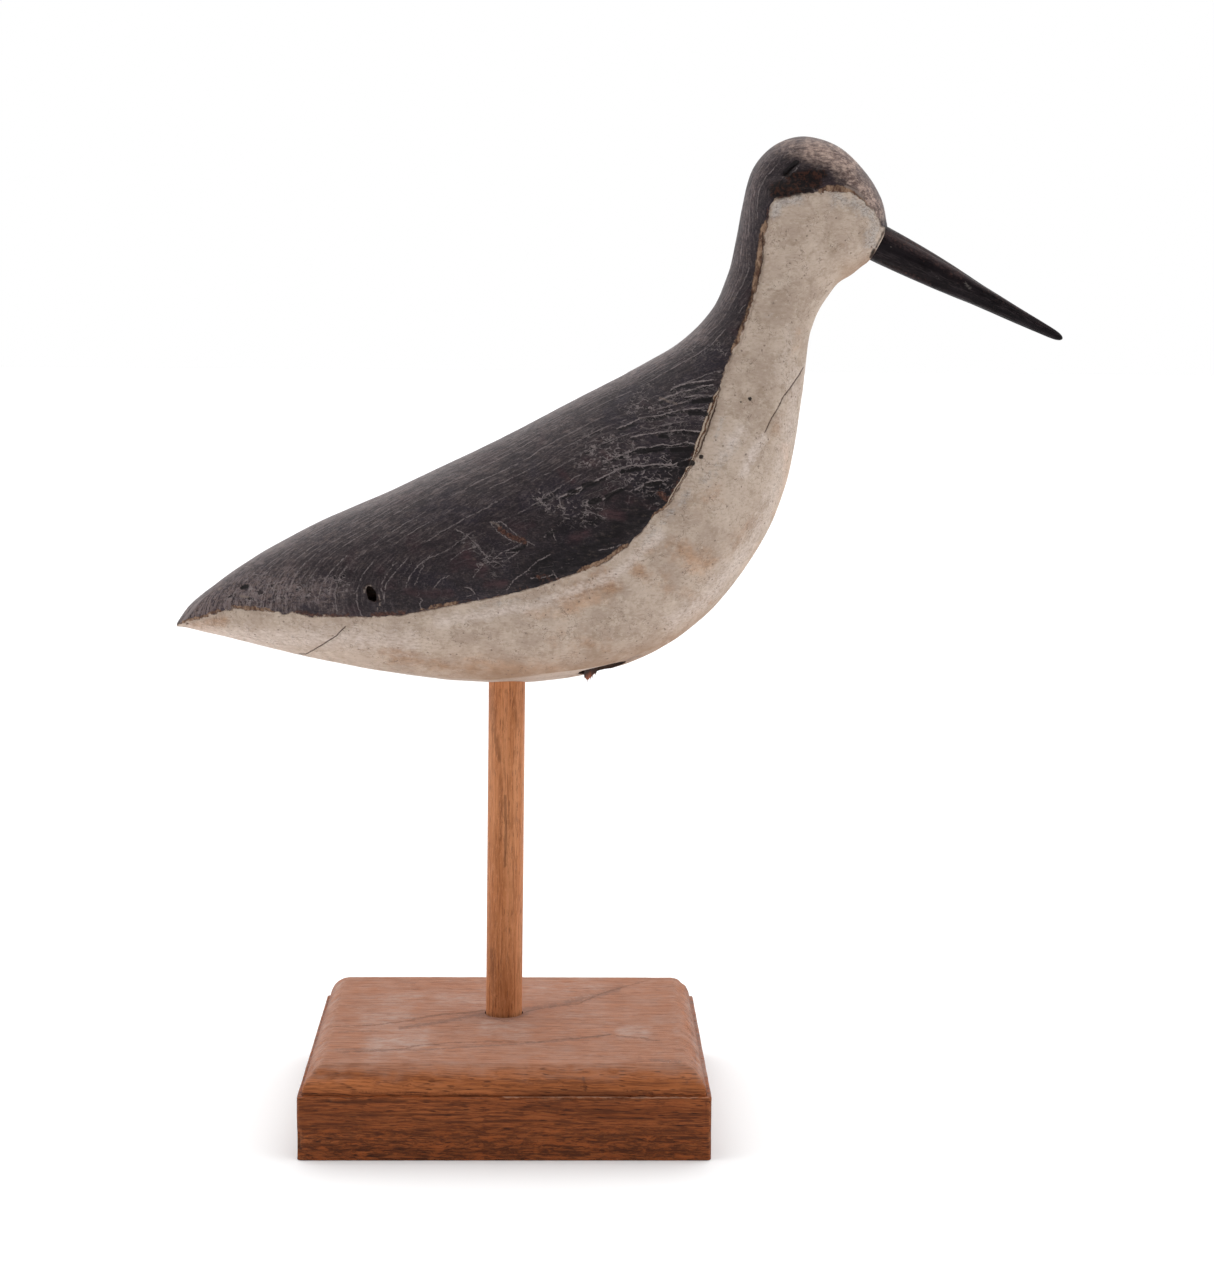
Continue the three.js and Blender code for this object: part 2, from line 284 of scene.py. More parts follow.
def tools(tree):
    # short ways to add nodes to one tree; a tuple stands for a colour as it looks in the photograph
    def node(kind, inputs=None, **settings):
        made = tree.nodes.new(kind)
        for key, value in settings.items():
            setattr(made, key, value)
        for name, value in (inputs or {}).items():
            if isinstance(value, bpy.types.NodeSocket):
                tree.links.new(value, made.inputs[name])
            else:
                made.inputs[name].default_value = value
        return made

    def send(values):
        # links values to the tree's own outputs
        end = next(one for one in tree.nodes if one.bl_idname == "NodeGroupOutput")
        for name, value in values.items():
            tree.links.new(value, end.inputs[name])

    def maths(operation, *values, clamp=False):
        settings = {"operation": operation, "use_clamp": clamp}
        return node("ShaderNodeMath", dict(enumerate(values)), **settings).outputs[0]

    def vector(operation, *values):
        return node("ShaderNodeVectorMath", dict(enumerate(values)), operation=operation).outputs[0]

    def scaled(place, factor):
        return node("ShaderNodeVectorMath", {0: place, 3: factor}, operation="SCALE").outputs[0]

    def combine(x, y, z):
        return node("ShaderNodeCombineXYZ", {"X": x, "Y": y, "Z": z}).outputs[0]

    def chain(operation, values):
        total = values[0]
        for value in values[1:]:
            total = maths(operation, total, value)
        return total

    def times(*values):
        return chain("MULTIPLY", values)

    def plus(*values):
        return chain("ADD", values)

    def most(*values):
        return chain("MAXIMUM", values)

    def minus(first, second):
        return maths("SUBTRACT", first, second)

    def over(first, second):
        return maths("DIVIDE", first, second)

    def rise(value, low, high, start=0.0, end=1.0):
        inputs = {"Value": value, "From Min": low, "From Max": high, "To Min": start, "To Max": end}
        return node("ShaderNodeMapRange", inputs, interpolation_type="SMOOTHSTEP").outputs[0]

    def within(value, reach, full):
        # one close to zero, on either side of it, and nought beyond the reach
        return rise(maths("ABSOLUTE", value), reach, full)

    def mix(share, first, second):
        first, second = (tint(*one) if isinstance(one, tuple) else one for one in (first, second))
        return node("ShaderNodeMix", {0: share, 6: first, 7: second}, data_type="RGBA").outputs[2]

    def blend(share, first, second):
        return node("ShaderNodeMix", {0: share, 2: first, 3: second}, data_type="FLOAT").outputs[0]

    def layer(colour, *coats):
        # lays coats on a colour; each is a mask, often its strength, and last the coat's own colour
        for *shares, top in coats:
            colour = mix(times(*shares), colour, top)
        return colour

    def stretch(place, scale, turn=(0, 0, 0)):
        inputs = {"Vector": place, "Scale": scale, "Rotation": [math.radians(angle) for angle in turn]}
        return node("ShaderNodeMapping", inputs).outputs[0]

    def noise(place, scale, detail=2.0, roughness=0.5):
        inputs = {"Vector": place, "Scale": scale, "Detail": detail, "Roughness": roughness}
        return node("ShaderNodeTexNoise", inputs).outputs["Fac"]

    def hairs(place, scale, width):
        # thin winding lines where a smooth noise passes its middle value
        return within(minus(noise(place, scale, 2.0, 0.5), 0.5), width, width * 0.3)

    def cells(place, scale, feature="F1"):
        inputs = {"Vector": place, "Scale": scale, "Randomness": 1.0}
        return node("ShaderNodeTexVoronoi", inputs, feature=feature).outputs

    def field(name):
        return node("ShaderNodeAttribute", attribute_name=name).outputs["Fac"]

    def frayed(name, texture, amount, low, high):
        # a field as a mask, its edge broken up by a texture
        return rise(maths("MULTIPLY_ADD", minus(texture, 0.5), amount, field(name)), low, high)

    def parts(place):
        return node("ShaderNodeSeparateXYZ", {0: place}).outputs

    def warped(place, size, amount):
        # a place pushed about by noise; both are in the place's own units
        inputs = {"Vector": place, "Scale": 1 / size, "Detail": 3.0}
        push = node("ShaderNodeTexNoise", inputs).outputs["Color"]
        centred = vector("SUBTRACT", push, (0.5, 0.5, 0.5))
        return vector("MULTIPLY_ADD", centred, (amount, amount, amount), place)

    def group(name, inputs):
        return node("ShaderNodeGroup", inputs, node_tree=bpy.data.node_groups[name]).outputs

    def wood(place, bandWidth, poreLength, poreShare, warp):
        return group("woodFigure", {"Place": place, "Band Width": bandWidth, "Pore Length": poreLength,
                                    "Pore Share": poreShare, "Warp": warp})

    def specks(place, spacing, size, share):
        return group("specks", {"Place": place, "Spacing": spacing, "Size": size, "Share": share})[0]

    def placeInMm():
        return scaled(node("ShaderNodeTexCoord").outputs["Object"], 1 / metresPerMm)

    return SimpleNamespace(**locals())


def newGroup(name, inputs, outputs):
    tree = bpy.data.node_groups.new(name, "ShaderNodeTree")
    kinds = {"value": "NodeSocketFloat", "vector": "NodeSocketVector"}
    for way, sockets in (("INPUT", inputs), ("OUTPUT", outputs)):
        for key, kind in sockets.items():
            tree.interface.new_socket(key, in_out=way, socket_type=kinds[kind])
    given = tree.nodes.new("NodeGroupInput").outputs
    tree.nodes.new("NodeGroupOutput")
    return tools(tree), given


def newMaterial(name, specular=0.5):
    material = bpy.data.materials.new(name)
    material.use_nodes = True
    material.node_tree.nodes["Principled BSDF"].inputs["Specular IOR Level"].default_value = specular
    return material, tools(material.node_tree)


def finishMaterial(material, made, colour, roughness, height):
    # height is in millimetres
    shader = made.tree.nodes["Principled BSDF"]
    bump = made.node("ShaderNodeBump", {"Strength": 1.0, "Distance": metresPerMm, "Height": height})
    for key, value in (("Base Color", colour), ("Roughness", roughness), ("Normal", bump.outputs[0])):
        made.tree.links.new(value, shader.inputs[key])
    return material


# Effects that several finishes share


def makeWoodFigure():
    # wood whose grain runs along X: broad tone, fine fibres and dark pores, from a place in millimetres
    inputs = {"Place": "vector", "Band Width": "value", "Pore Length": "value", "Pore Share": "value",
              "Warp": "value"}
    made, given = newGroup("woodFigure", inputs, {"Tone": "value", "Fibre": "value", "Pores": "value"})
    along = made.stretch(given["Place"], (0.045, 1, 1))
    bend = made.noise(made.stretch(given["Place"], (0.02, 0.05, 0.05)), 1.0, 2.0)
    lift = made.times(bend, given["Warp"])
    shift = made.vector("ADD", made.combine(0.0, lift, lift), along)
    broad = made.noise(shift, made.over(1.0, given["Band Width"]), 4.0, 0.55)
    squash = made.combine(made.over(0.5, given["Pore Length"]), 1.0, 1.0)
    pore = made.cells(made.vector("MULTIPLY", given["Place"], squash), 1.15)
    picked = made.node("ShaderNodeSeparateColor", {0: pore["Color"]}).outputs[0]
    chosen = made.maths("LESS_THAN", picked, given["Pore Share"])
    made.send({"Tone": made.rise(broad, 0.32, 0.68), "Fibre": made.noise(shift, 1.5, 4.0, 0.66),
               "Pores": made.times(chosen, made.rise(pore["Distance"], 0.3, 0.12))})


def makeSpecks():
    # sparse small round specks
    inputs = {"Place": "vector", "Spacing": "value", "Size": "value", "Share": "value"}
    made, given = newGroup("specks", inputs, {"Mask": "value"})
    cell = made.cells(given["Place"], made.over(1.0, given["Spacing"]))
    picked = made.node("ShaderNodeSeparateColor", {0: cell["Color"]}).outputs[1]
    chosen = made.maths("LESS_THAN", picked, given["Share"])
    reach = made.times(given["Size"], made.noise(given["Place"], 1.6, 2.0), 1.6)
    made.send({"Mask": made.times(chosen, made.rise(made.minus(reach, cell["Distance"]), 0.0, 0.08))})


def makeDust():
    # dust that lies on what faces up, in uneven patches
    inputs = {"Place": "vector", "Amount": "value", "Patch Size": "value"}
    made, given = newGroup("dust", inputs, {"Mask": "value"})
    facing = made.node("ShaderNodeNewGeometry").outputs["Normal"]
    upward = made.rise(made.parts(facing)["Z"], 0.25, 0.95)
    patch = made.noise(given["Place"], made.over(1.0, given["Patch Size"]), 4.0, 0.6)
    made.send({"Mask": made.times(upward, made.rise(made.plus(patch, given["Amount"]), 0.55, 1.1))})


makeWoodFigure()
makeSpecks()
makeDust()
print("shared effects ready")

# Bird: one carving. Its stations are in thousandths of the carving's length, from the rod's seat, as in the
# frame's solid: back, belly, width, widest place, powers above and below it, chine in degrees, planed share.
bird = {
    "carvingLength": 240.0,
    "bodyWidth": 66.0,
    "ringsAlong": 386,
    "sidesBelowChine": 19,
    "sidesAboveChine": 99,
    "stations": [
        ((-469, 88), (-469, 80), 0.15, 0.5, 2.4, 2.0, 30, 0),
        ((-453, 111), (-456, 77), 0.23, 0.5, 2.8, 2.1, 30, 0),
        ((-421, 137), (-427, 70), 0.34, 0.52, 2.8, 2.1, 30, 0),
        ((-380, 167), (-387, 61), 0.46, 0.54, 2.6, 2.1, 30, 0),
        ((-329, 199), (-331, 48), 0.6, 0.55, 2.4, 2.1, 30, 0),
        ((-262, 234), (-254, 31), 0.76, 0.55, 2.3, 2.1, 30, 0),
        ((-178, 271), (-156, 14), 0.91, 0.54, 2.2, 2.1, 32, 0),
        ((-81, 316), (-47, 1), 0.99, 0.53, 2.15, 2.05, 34, 0.2),
        ((18, 365), (71, 4), 1.0, 0.52, 2.1, 2.4, 33, 1),
        ((113, 416), (184, 33), 0.98, 0.52, 2.1, 2.4, 27, 1),
        ((189, 456), (279, 93), 0.91, 0.52, 2.1, 2.25, 24, 1),
        ((246, 491), (354, 188), 0.78, 0.52, 2.1, 2.0, 26, 0.3),
        ((288, 534), (397, 287), 0.62, 0.52, 2.1, 2.05, 30, 0),
        ((310, 584), (416, 405), 0.48, 0.52, 2.05, 2.05, 30, 0),
        ((320, 631), (425, 488), 0.41, 0.52, 2.0, 2.0, 30, 0),
        ((328, 677), (430, 511), 0.41, 0.5, 2.0, 2.0, 30, 0),
        ((341, 728), (438, 532), 0.43, 0.46, 2.1, 1.95, 30, 0),
        ((370, 762), (452, 554), 0.45, 0.44, 2.15, 1.9, 30, 0),
        ((413, 776), (466, 572), 0.45, 0.44, 2.15, 1.9, 30, 0),
        ((462, 762), (484, 584), 0.425, 0.46, 2.1, 1.95, 30, 0),
        ((501, 726), (496, 594), 0.36, 0.48, 2.0, 2.0, 30, 0),
        ((524, 689), (504, 600), 0.275, 0.5, 2.0, 2.0, 30, 0),
        ((533, 654), (508, 604), 0.2, 0.5, 2.0, 2.0, 30, 0),
    ],
    "browFrom": (375, 722),
    "browTo": (468, 706),
    "browReach": 24,
    "browLimit": 60,  # farther off than this there is no hollow
    "browDepth": 5,
    "stakeHole": {"place": (32.6, -7.4), "diameter": 16.4, "depth": 25.0},
    "flankHole": {"place": (-186, 143), "half": (6.6, 12), "turn": -22, "floor": 0.72},
    "whittling": 0.22,  # unevenness left by the knife, mm
    "ringSpacing": 1.45,  # growth rings, counted through the wood, mm
    "ringRidge": 0.1,
    "ringMiddle": -2.0,
    "ringTilt": 0.035,
    "ringBend": 0.0008,  # brings the rings down towards the tail
    "ringBendFrom": 40.0,
}

# Marks on the near side, in the photograph's pixels. A stroke is a path, a half width and a strength.
pixelsPerMm = 2.89
offFar = 20  # put on the distance past a line's end where the line isn't to be seen, mm
birdMarks = {
    "paintEdge": [
        (172, 628), (180, 625), (205, 616), (222, 611), (236, 607), (250, 609), (270, 612), (290, 613),
        (318, 616), (348, 617), (380, 617), (402, 615), (438, 608), (480, 600), (510, 594), (540, 586),
        (575, 574), (606, 562), (628, 545), (645, 528), (655, 514), (664, 510), (672, 500), (686, 476),
        (697, 455), (708, 428), (717, 400), (722, 380), (727, 362), (738, 342), (748, 315), (757, 287),
        (762, 255), (767, 222), (770, 206), (776, 197), (800, 193), (833, 191), (850, 193), (863, 200),
        (874, 211), (882, 226), (893, 233),
    ],
    "aboveBird": [(1000, 60), (600, 60), (100, 500), (100, 640)],
    "tan": [  # how far bare wood reaches in from the paint's edge
        ([(763, 230), (759, 258), (756, 288)], 13, 1.15), ([(752, 300), (743, 325), (733, 348)], 9, 0.6),
        ([(826, 188), (836, 187), (850, 188)], 11, 1.1), ([(858, 196), (866, 203)], 8, 0.3),
        ([(238, 608), (252, 609), (268, 612)], 10, 0.6), ([(184, 623), (204, 617), (218, 612)], 8, 0.55),
        ([(585, 570), (606, 561), (622, 549)], 11, 0.85), ([(418, 607), (440, 604), (455, 602)], 6, 0.55),
        ([(655, 516), (668, 504)], 8, 0.5),
    ],
    "lip": [  # the double ridge at the shoulder, wide above and narrow below
        ([(717, 402), (709, 426), (701, 446)], 18, 1), ([(697, 456), (684, 479), (671, 499)], 13, 0.62),
    ],
    # paler on the white: rubbed patches, and painted rim light along the breast's, belly's and tail's outer
    # edges
    "pale": [
        ([(185, 630), (260, 640), (340, 638), (410, 640)], 26, 0.72),
        ([(797, 370), (788, 440), (772, 500), (745, 556)], 20, 0.6),
        ([(746, 552), (722, 580), (702, 602), (676, 622)], 22, 0.68),
        ([(440, 622), (540, 604), (620, 572), (660, 535)], 13, 0.8), ([(722, 455), (742, 430)], 16, 0.7),
        ([(763, 438), (752, 452), (745, 472)], 10, 0.9), ([(790, 330), (780, 380)], 14, 0.5),
    ],
    "rust": [
        ([(297, 612), (322, 616), (348, 615)], 5, 0.75), ([(372, 615), (404, 613)], 6, 0.8),
        ([(455, 602), (500, 595), (560, 578)], 3.2, 0.6), ([(659, 492), (668, 499)], 7, 0.85),
        ([(664, 506)], 4.5, 0.8), ([(672, 492), (680, 478)], 4, 0.8), ([(688, 462), (700, 440)], 5, 0.7),
        ([(500, 529), (512, 537), (524, 541)], 6, 1), ([(537, 577), (549, 576)], 4.5, 0.7),
        ([(783, 189), (801, 188)], 5, 0.8), ([(812, 174), (824, 172)], 8, 0.7),
        ([(868, 236), (872, 250)], 5, 0.5), ([(768, 205), (766, 222)], 4, 0.6),
    ],
    "maroon": [
        ([(465, 556), (482, 570)], 15, 0.9), ([(572, 540), (586, 533)], 13, 0.85),
        ([(606, 513), (622, 516)], 11, 1), ([(486, 584), (506, 583)], 10, 0.9),
        ([(405, 592), (450, 594)], 11, 0.8), ([(630, 500), (655, 508)], 14, 0.6),
        ([(684, 447), (697, 452)], 8, 0.7), ([(197, 618), (240, 600), (280, 604)], 12, 0.6),
        ([(560, 470), (572, 482)], 9, 0.8), ([(602, 452), (610, 458)], 8, 0.8),
        ([(760, 240), (757, 262)], 8, 0.5), ([(868, 238), (866, 256)], 7, 0.7),
    ],
    # grey on the dark paint: worn patches on the tail, and painted sheen along the top edge of the back, neck
    # and head
    "grey": [
        ([(182, 624), (232, 572), (300, 530), (380, 495), (470, 450), (560, 405), (640, 366),
          (700, 332)], 17, 0.8),
        ([(260, 560), (380, 500), (470, 455), (560, 412)], 74, 0.36),
        ([(700, 332), (726, 300), (742, 250), (748, 195), (765, 155), (800, 140)], 16, 0.55),
        ([(195, 616), (250, 594), (285, 590)], 36, 1.15), ([(285, 590), (335, 594)], 26, 0.7),
        ([(800, 142), (850, 160), (880, 205)], 20, 0.7), ([(590, 470), (690, 425)], 40, 0.2),
    ],
    "deep": [
        ([(540, 578), (600, 550), (640, 514), (674, 478), (690, 452)], 44, 1),
        ([(560, 528), (604, 520)], 26, 0.75),
    ],
    "crackle": [
        ([(600, 452), (655, 476)], 46, 1), ([(545, 500), (592, 512)], 28, 0.9),
        ([(238, 592), (335, 590)], 34, 0.9), ([(640, 405), (708, 415)], 60, 0.7),
        ([(690, 350), (720, 350)], 30, 0.6), ([(470, 545), (505, 565)], 26, 0.6),
        ([(795, 150), (850, 175)], 26, 0.5),
    ],
    # paler brown crown: worn paint, with painted sheen from the light above
    "crown": [
        ([(782, 141), (800, 150)], 17, 0.5), ([(812, 149), (832, 155), (850, 165)], 20, 1),
        ([(846, 172), (862, 188), (878, 212)], 16, 0.8),
    ],
    "scuff": [
        ([(793, 159), (795, 164)], 2.2, 0.7), ([(795, 174)], 2.2, 0.9), ([(814, 150), (820, 158)], 3, 0.7),
        ([(491, 522), (499, 526)], 3.5, 0.8), ([(512, 541), (522, 543)], 2.6, 0.7),
        ([(364, 592), (366, 587), (371, 586)], 2.6, 1), ([(378, 594), (381, 602), (377, 610)], 2.6, 0.8),
        ([(218, 590), (226, 584)], 4, 0.6), ([(241, 596), (248, 597)], 2.6, 1),
        ([(660, 398), (676, 404)], 6, 0.6), ([(700, 417), (706, 422)], 5, 0.5),
        ([(845, 186), (855, 190), (863, 198)], 3, 0.9),
    ],
    "peach": [
        ([(786, 448), (788, 478), (778, 512)], 12, 0.7), ([(762, 545), (745, 572)], 12, 0.8),
        ([(700, 612), (660, 650)], 14, 0.5), ([(600, 600), (560, 612), (530, 612)], 16, 0.6),
        ([(470, 662), (520, 668), (560, 668)], 14, 0.7), ([(200, 630), (240, 644)], 14, 0.7),
        ([(690, 556), (700, 572)], 20, 0.6), ([(800, 330), (796, 350)], 10, 0.5),
    ],
    # dark marks, and painted shade in the brow's hollow, the cuts, the stake hole's mouth and the crease by
    # the bill
    "soot": [
        ([(778, 190), (798, 187), (813, 182)], 14, 1.5), ([(790, 177), (808, 174), (822, 174)], 11, 1),
        ([(752, 292), (746, 312), (738, 330)], 6, 0.6), ([(368, 588), (376, 600)], 11, 0.7),
        ([(244, 588)], 6, 0.7), ([(746, 455)], 3, 0.8), ([(773, 303)], 3.2, 0.7), ([(539, 599)], 4.5, 0.7),
        ([(813, 245)], 2.2, 0.7), ([(292, 637)], 3, 0.7), ([(578, 674), (625, 662), (640, 655)], 5.5, 0.5),
        ([(887, 227), (883, 234)], 3.4, 1), ([(883, 234), (876, 247)], 2.2, 0.85),
        ([(874, 250), (871, 257)], 3.4, 1.1),
    ],
    "black": [
        ([(797, 162), (790, 168), (785, 174)], 3.9, 1.4), ([(242, 588), (247, 586)], 4, 1),
        ([(701, 457)], 4.5, 1.1), ([(750, 399)], 4, 1), ([(741, 402)], 3, 0.7),
        ([(680, 464), (692, 463)], 5, 1.2), ([(646, 485), (660, 483)], 3.5, 1.2),
        ([(694, 402), (711, 400)], 5, 1), ([(690, 413), (706, 414)], 4.5, 1),
        ([(638, 452), (662, 449)], 5, 1), ([(672, 450), (692, 449)], 5, 1), ([(660, 436), (668, 437)], 4, 1),
        ([(622, 472), (641, 469)], 3.5, 1.1), ([(583, 486), (595, 482)], 4, 1),
        ([(590, 502), (600, 500)], 5, 1), ([(606, 497), (621, 490)], 4, 1),
        ([(568, 492), (576, 490)], 4, 0.9), ([(514, 551), (526, 546)], 4, 0.9),
        ([(548, 534), (556, 531)], 4.5, 0.8),
    ],
    "stain": [
        ([(568, 597), (606, 584)], 26, 0.85), ([(680, 552), (704, 562)], 25, 0.78),
        ([(668, 590), (716, 604)], 14, 0.5), ([(646, 552), (668, 546)], 12, 0.5),
        ([(634, 568), (648, 576)], 13, 0.8), ([(696, 554), (708, 566)], 15, 0.6),
        ([(776, 515), (766, 560), (752, 590)], 8, 0.9), ([(655, 590), (665, 575)], 20, 0.5),
        ([(700, 505), (715, 495)], 22, 0.5), ([(600, 645), (560, 640)], 24, 0.5),
        ([(735, 545), (750, 520)], 18, 0.5), ([(385, 655), (450, 668), (520, 672)], 18, 0.6),
        ([(190, 627), (222, 622)], 12, 0.9), ([(770, 440), (782, 405)], 12, 0.4),
        ([(640, 545), (632, 560)], 14, 0.4),
    ],
    "blue": [
        ([(774, 214), (780, 203), (798, 199)], 12, 0.9),
        ([(836, 198), (860, 205), (876, 222), (872, 244)], 17, 0.8),
        ([(735, 440), (722, 462), (706, 480)], 14, 0.6), ([(690, 490), (672, 512), (640, 548)], 12, 0.6),
        ([(475, 610), (520, 600)], 10, 0.5), ([(715, 440), (722, 420)], 8, 0.6),
        ([(752, 320), (770, 316)], 8, 0.4),
    ],
    "scratches": [
        [(457, 530), (466, 534), (476, 544)], [(476, 545), (480, 550), (487, 556)],
        [(451, 560), (464, 550), (478, 546)], [(477, 564), (490, 560), (505, 551), (519, 546)],
        [(507, 589), (514, 580), (528, 570), (536, 562), (549, 555)],
        [(491, 522), (502, 522), (512, 531), (521, 538), (534, 545)],
        [(491, 524), (499, 533), (512, 541), (524, 543)], [(791, 173), (796, 170), (799, 165)],
        [(786, 178), (791, 174)], [(777, 215), (779, 211), (783, 208)],
        [(568, 494), (578, 494), (582, 488), (594, 482)], [(545, 536), (552, 530), (556, 540)],
        [(474, 576), (480, 568), (488, 562), (500, 562), (510, 558), (526, 546)],
        [(532, 578), (540, 578), (550, 576), (554, 573), (558, 580)],
        [(466, 587), (472, 589), (475, 594), (468, 596)], [(586, 510), (596, 514), (606, 519)],
        [(600, 550), (608, 549), (616, 547), (620, 545)], [(588, 500), (598, 504), (608, 494), (620, 488)],
        [(384, 598), (386, 584), (392, 576), (406, 560)], [(406, 586), (410, 576), (418, 566), (432, 554)],
        [(434, 588), (440, 580), (448, 576)], [(236, 570), (244, 566), (252, 568)],
        [(246, 580), (254, 574), (262, 576), (270, 570)], [(290, 588), (296, 574), (306, 562)],
        [(318, 600), (322, 584), (332, 570), (346, 556)],
    ],
    # single rings at the shoulder, painted lighter as a highlight with painted shadow just below
    "ridges": [  # single growth rings that stand out at the shoulder
        [(660, 400), (670, 396), (681, 392), (694, 389), (702, 386), (712, 385)],
        [(618, 428), (628, 424), (641, 418), (660, 415), (680, 410), (699, 408), (710, 408)],
        [(618, 456), (627, 453), (640, 447), (649, 448), (662, 444), (670, 446), (687, 442), (697, 445)],
        [(636, 489), (642, 486), (650, 481), (665, 480)],
    ],
    "nextRidges": [
        [(671, 390), (680, 385), (694, 382), (712, 380)], [(686, 397), (696, 395), (711, 396)],
        [(632, 437), (641, 435), (660, 432), (682, 430), (704, 432)],
        [(560, 497), (580, 488), (599, 479), (619, 469), (631, 465), (642, 466), (657, 464), (672, 465)],
        [(672, 465), (685, 460), (693, 457)], [(604, 499), (612, 493), (622, 488)],
    ],
    "cracks": [
        [(803, 368), (797, 378), (790, 388), (783, 397), (778, 408), (771, 419), (765, 432)],
        [(300, 654), (306, 654), (322, 645), (336, 636), (345, 627)], [(763, 233), (763, 258), (757, 285)],
        [(716, 405), (709, 425), (699, 452)], [(786, 174), (792, 168), (799, 163)],
    ],
    "cuts": [  # the last number is a depth in millimetres
        ([(493, 524), (505, 532), (520, 540), (532, 545)], 6, 0.6),
        ([(797, 162), (790, 168), (785, 174)], 2.6, 0.9), ([(241, 587), (247, 590)], 5, 0.6),
        ([(750, 399)], 4.5, 0.7), ([(741, 402)], 3.5, 0.4), ([(746, 455)], 3, 0.3), ([(773, 303)], 3.5, 0.4),
        ([(701, 457)], 3.5, 0.6), ([(539, 599)], 5, 0.45), ([(671, 641)], 5, 0.7),
        ([(540, 577), (549, 575)], 4.5, 0.3),
    ],
    "ledge": [  # where the dark side stands out: the last number is its height in millimetres
        ([(671, 499), (697, 455), (722, 380), (738, 342)], 30, 0.55),
        ([(738, 342), (755, 286), (766, 222)], 26, 0.5), ([(400, 615), (540, 586), (640, 530)], 30, 0.3),
        ([(200, 618), (400, 615)], 26, 0.12),
    ],
    # the tail's top edge: raised a little, and painted lighter as a highlight
    "arris": [(182, 623), (196, 605), (214, 585), (236, 567), (262, 552)],
}


def curveAt(points, share):
    # the same smooth curve through points as the frame's solid uses
    points = np.asarray(points, float)
    extended = np.concatenate([[2 * points[0] - points[1]], points, [2 * points[-1] - points[-2]]])
    place = np.clip(share, 0, 1) * (len(points) - 1)
    start = np.minimum(place.astype(int), len(points) - 2)
    part = (place - start)[:, None]
    before, first, second, after = (extended[start + step] for step in range(4))
    leave, arrive = (second - before) / 2, (after - first) / 2
    square = part * part
    cubic = (2 * first - 2 * second + leave + arrive) * square * part
    return cubic + (3 * second - 3 * first - 2 * leave - arrive) * square + leave * part + first


def sectionPoint(turn, width, widest, top, under):
    below = turn < 90
    power = np.where(below, under, top)
    side = np.abs(np.sin(np.radians(turn))) ** (2 / power) * width * bird["bodyWidth"] / 2
    high = np.abs(np.cos(np.radians(turn))) ** (2 / power)
    return side, np.where(below, widest + (1 - widest) * high, widest * (1 - high))


def evenly(side, down, height, count):
    # points at equal steps along one part of a section
    steps = np.hypot(np.diff(side), np.diff(down) * height)
    length = np.concatenate([[0], np.cumsum(steps)])
    wanted = np.linspace(0, length[-1], count + 1)
    return np.interp(wanted, length, side), np.interp(wanted, length, down)


def halfSection(station, height):
    width, widest, top, under, chine, planed = station
    share = np.linspace(0, 1, bird["sidesBelowChine"] + 1)
    side, down = sectionPoint(chine * share, width, widest, top, under)
    corner = sectionPoint(np.array([chine]), width, widest, top, under)
    side += planed * (corner[0] * share - side)
    down += planed * (1 + (corner[1] - 1) * share - down)
    aboveSide, aboveDown = sectionPoint(np.linspace(chine, 180, 500), width, widest, top, under)
    aboveSide, aboveDown = evenly(aboveSide, aboveDown, height, bird["sidesAboveChine"])
    side = np.concatenate([side, aboveSide[1:]])
    side[[0, -1]] = 0
    return side, np.concatenate([down, aboveDown[1:]])


def birdRings():
    thousandth = bird["carvingLength"] / 1000
    stations = bird["stations"]
    ends = [[*row[0], *row[1]] for row in stations]
    forms = [row[2:] for row in stations]
    dense = np.linspace(0, 1, 4001)
    track = curveAt(ends, dense) * thousandth
    moves = np.diff(track, axis=0)
    steps = np.hypot(moves[:, 0], moves[:, 1]) + np.hypot(moves[:, 2], moves[:, 3])
    length = np.concatenate([[0], np.cumsum(steps)])
    shares = np.interp(np.linspace(0, length[-1], bird["ringsAlong"]), length, dense)
    places = curveAt(ends, shares) * thousandth
    shapes = curveAt(forms, shares)
    rings = []
    for (backX, backZ, bellyX, bellyZ), shape in zip(places, shapes):
        height = math.hypot(backX - bellyX, backZ - bellyZ)
        side, down = halfSection(shape, height)
        x = backX + (bellyX - backX) * down
        z = backZ + (bellyZ - backZ) * down
        line = ([bird["browFrom"], bird["browTo"]], bird["browLimit"], 1)
        brow = strokes(np.stack([x, z], -1) / thousandth, [line])
        away = (1 - brow) * bird["browLimit"] / bird["browReach"]
        hollow = bird["browDepth"] * thousandth * np.exp(-2 * away * away)
        side = side - np.minimum(hollow, side / 2)
        far = np.stack([x, side, z], -1)
        near = np.stack([x, -side, z], -1)[1:-1][::-1]
        rings.append(np.concatenate([far, near]))
    return np.stack(rings)


def nearPlace(points):
    # a point's place in the photograph, with the far side laid over the near one
    local = points.copy()
    local[:, 1] = birdSeat[1] - np.abs(points[:, 1] - birdSeat[1])
    return photoPlace(local)


def paintGap(places):
    edge = birdMarks["paintEdge"]
    sign = np.where(isInside(places, edge + birdMarks["aboveBird"]), 1, -1)
    return sign * fromPath(places, edge) / pixelsPerMm


def ringDepth(points):
    # how deep a point lies in the wood, counted across its growth rings
    local = points - birdSeat
    wander = 2.2 * softNoise(local, (70, 40, 34), 11) + 0.7 * softNoise(local, (26, 18, 11), 12)
    bend = bird["ringBend"] * np.maximum(bird["ringBendFrom"] - local[:, 0], 0) ** 2
    return np.abs(local[:, 1] - bird["ringMiddle"]) + bird["ringTilt"] * local[:, 2] - bend + wander


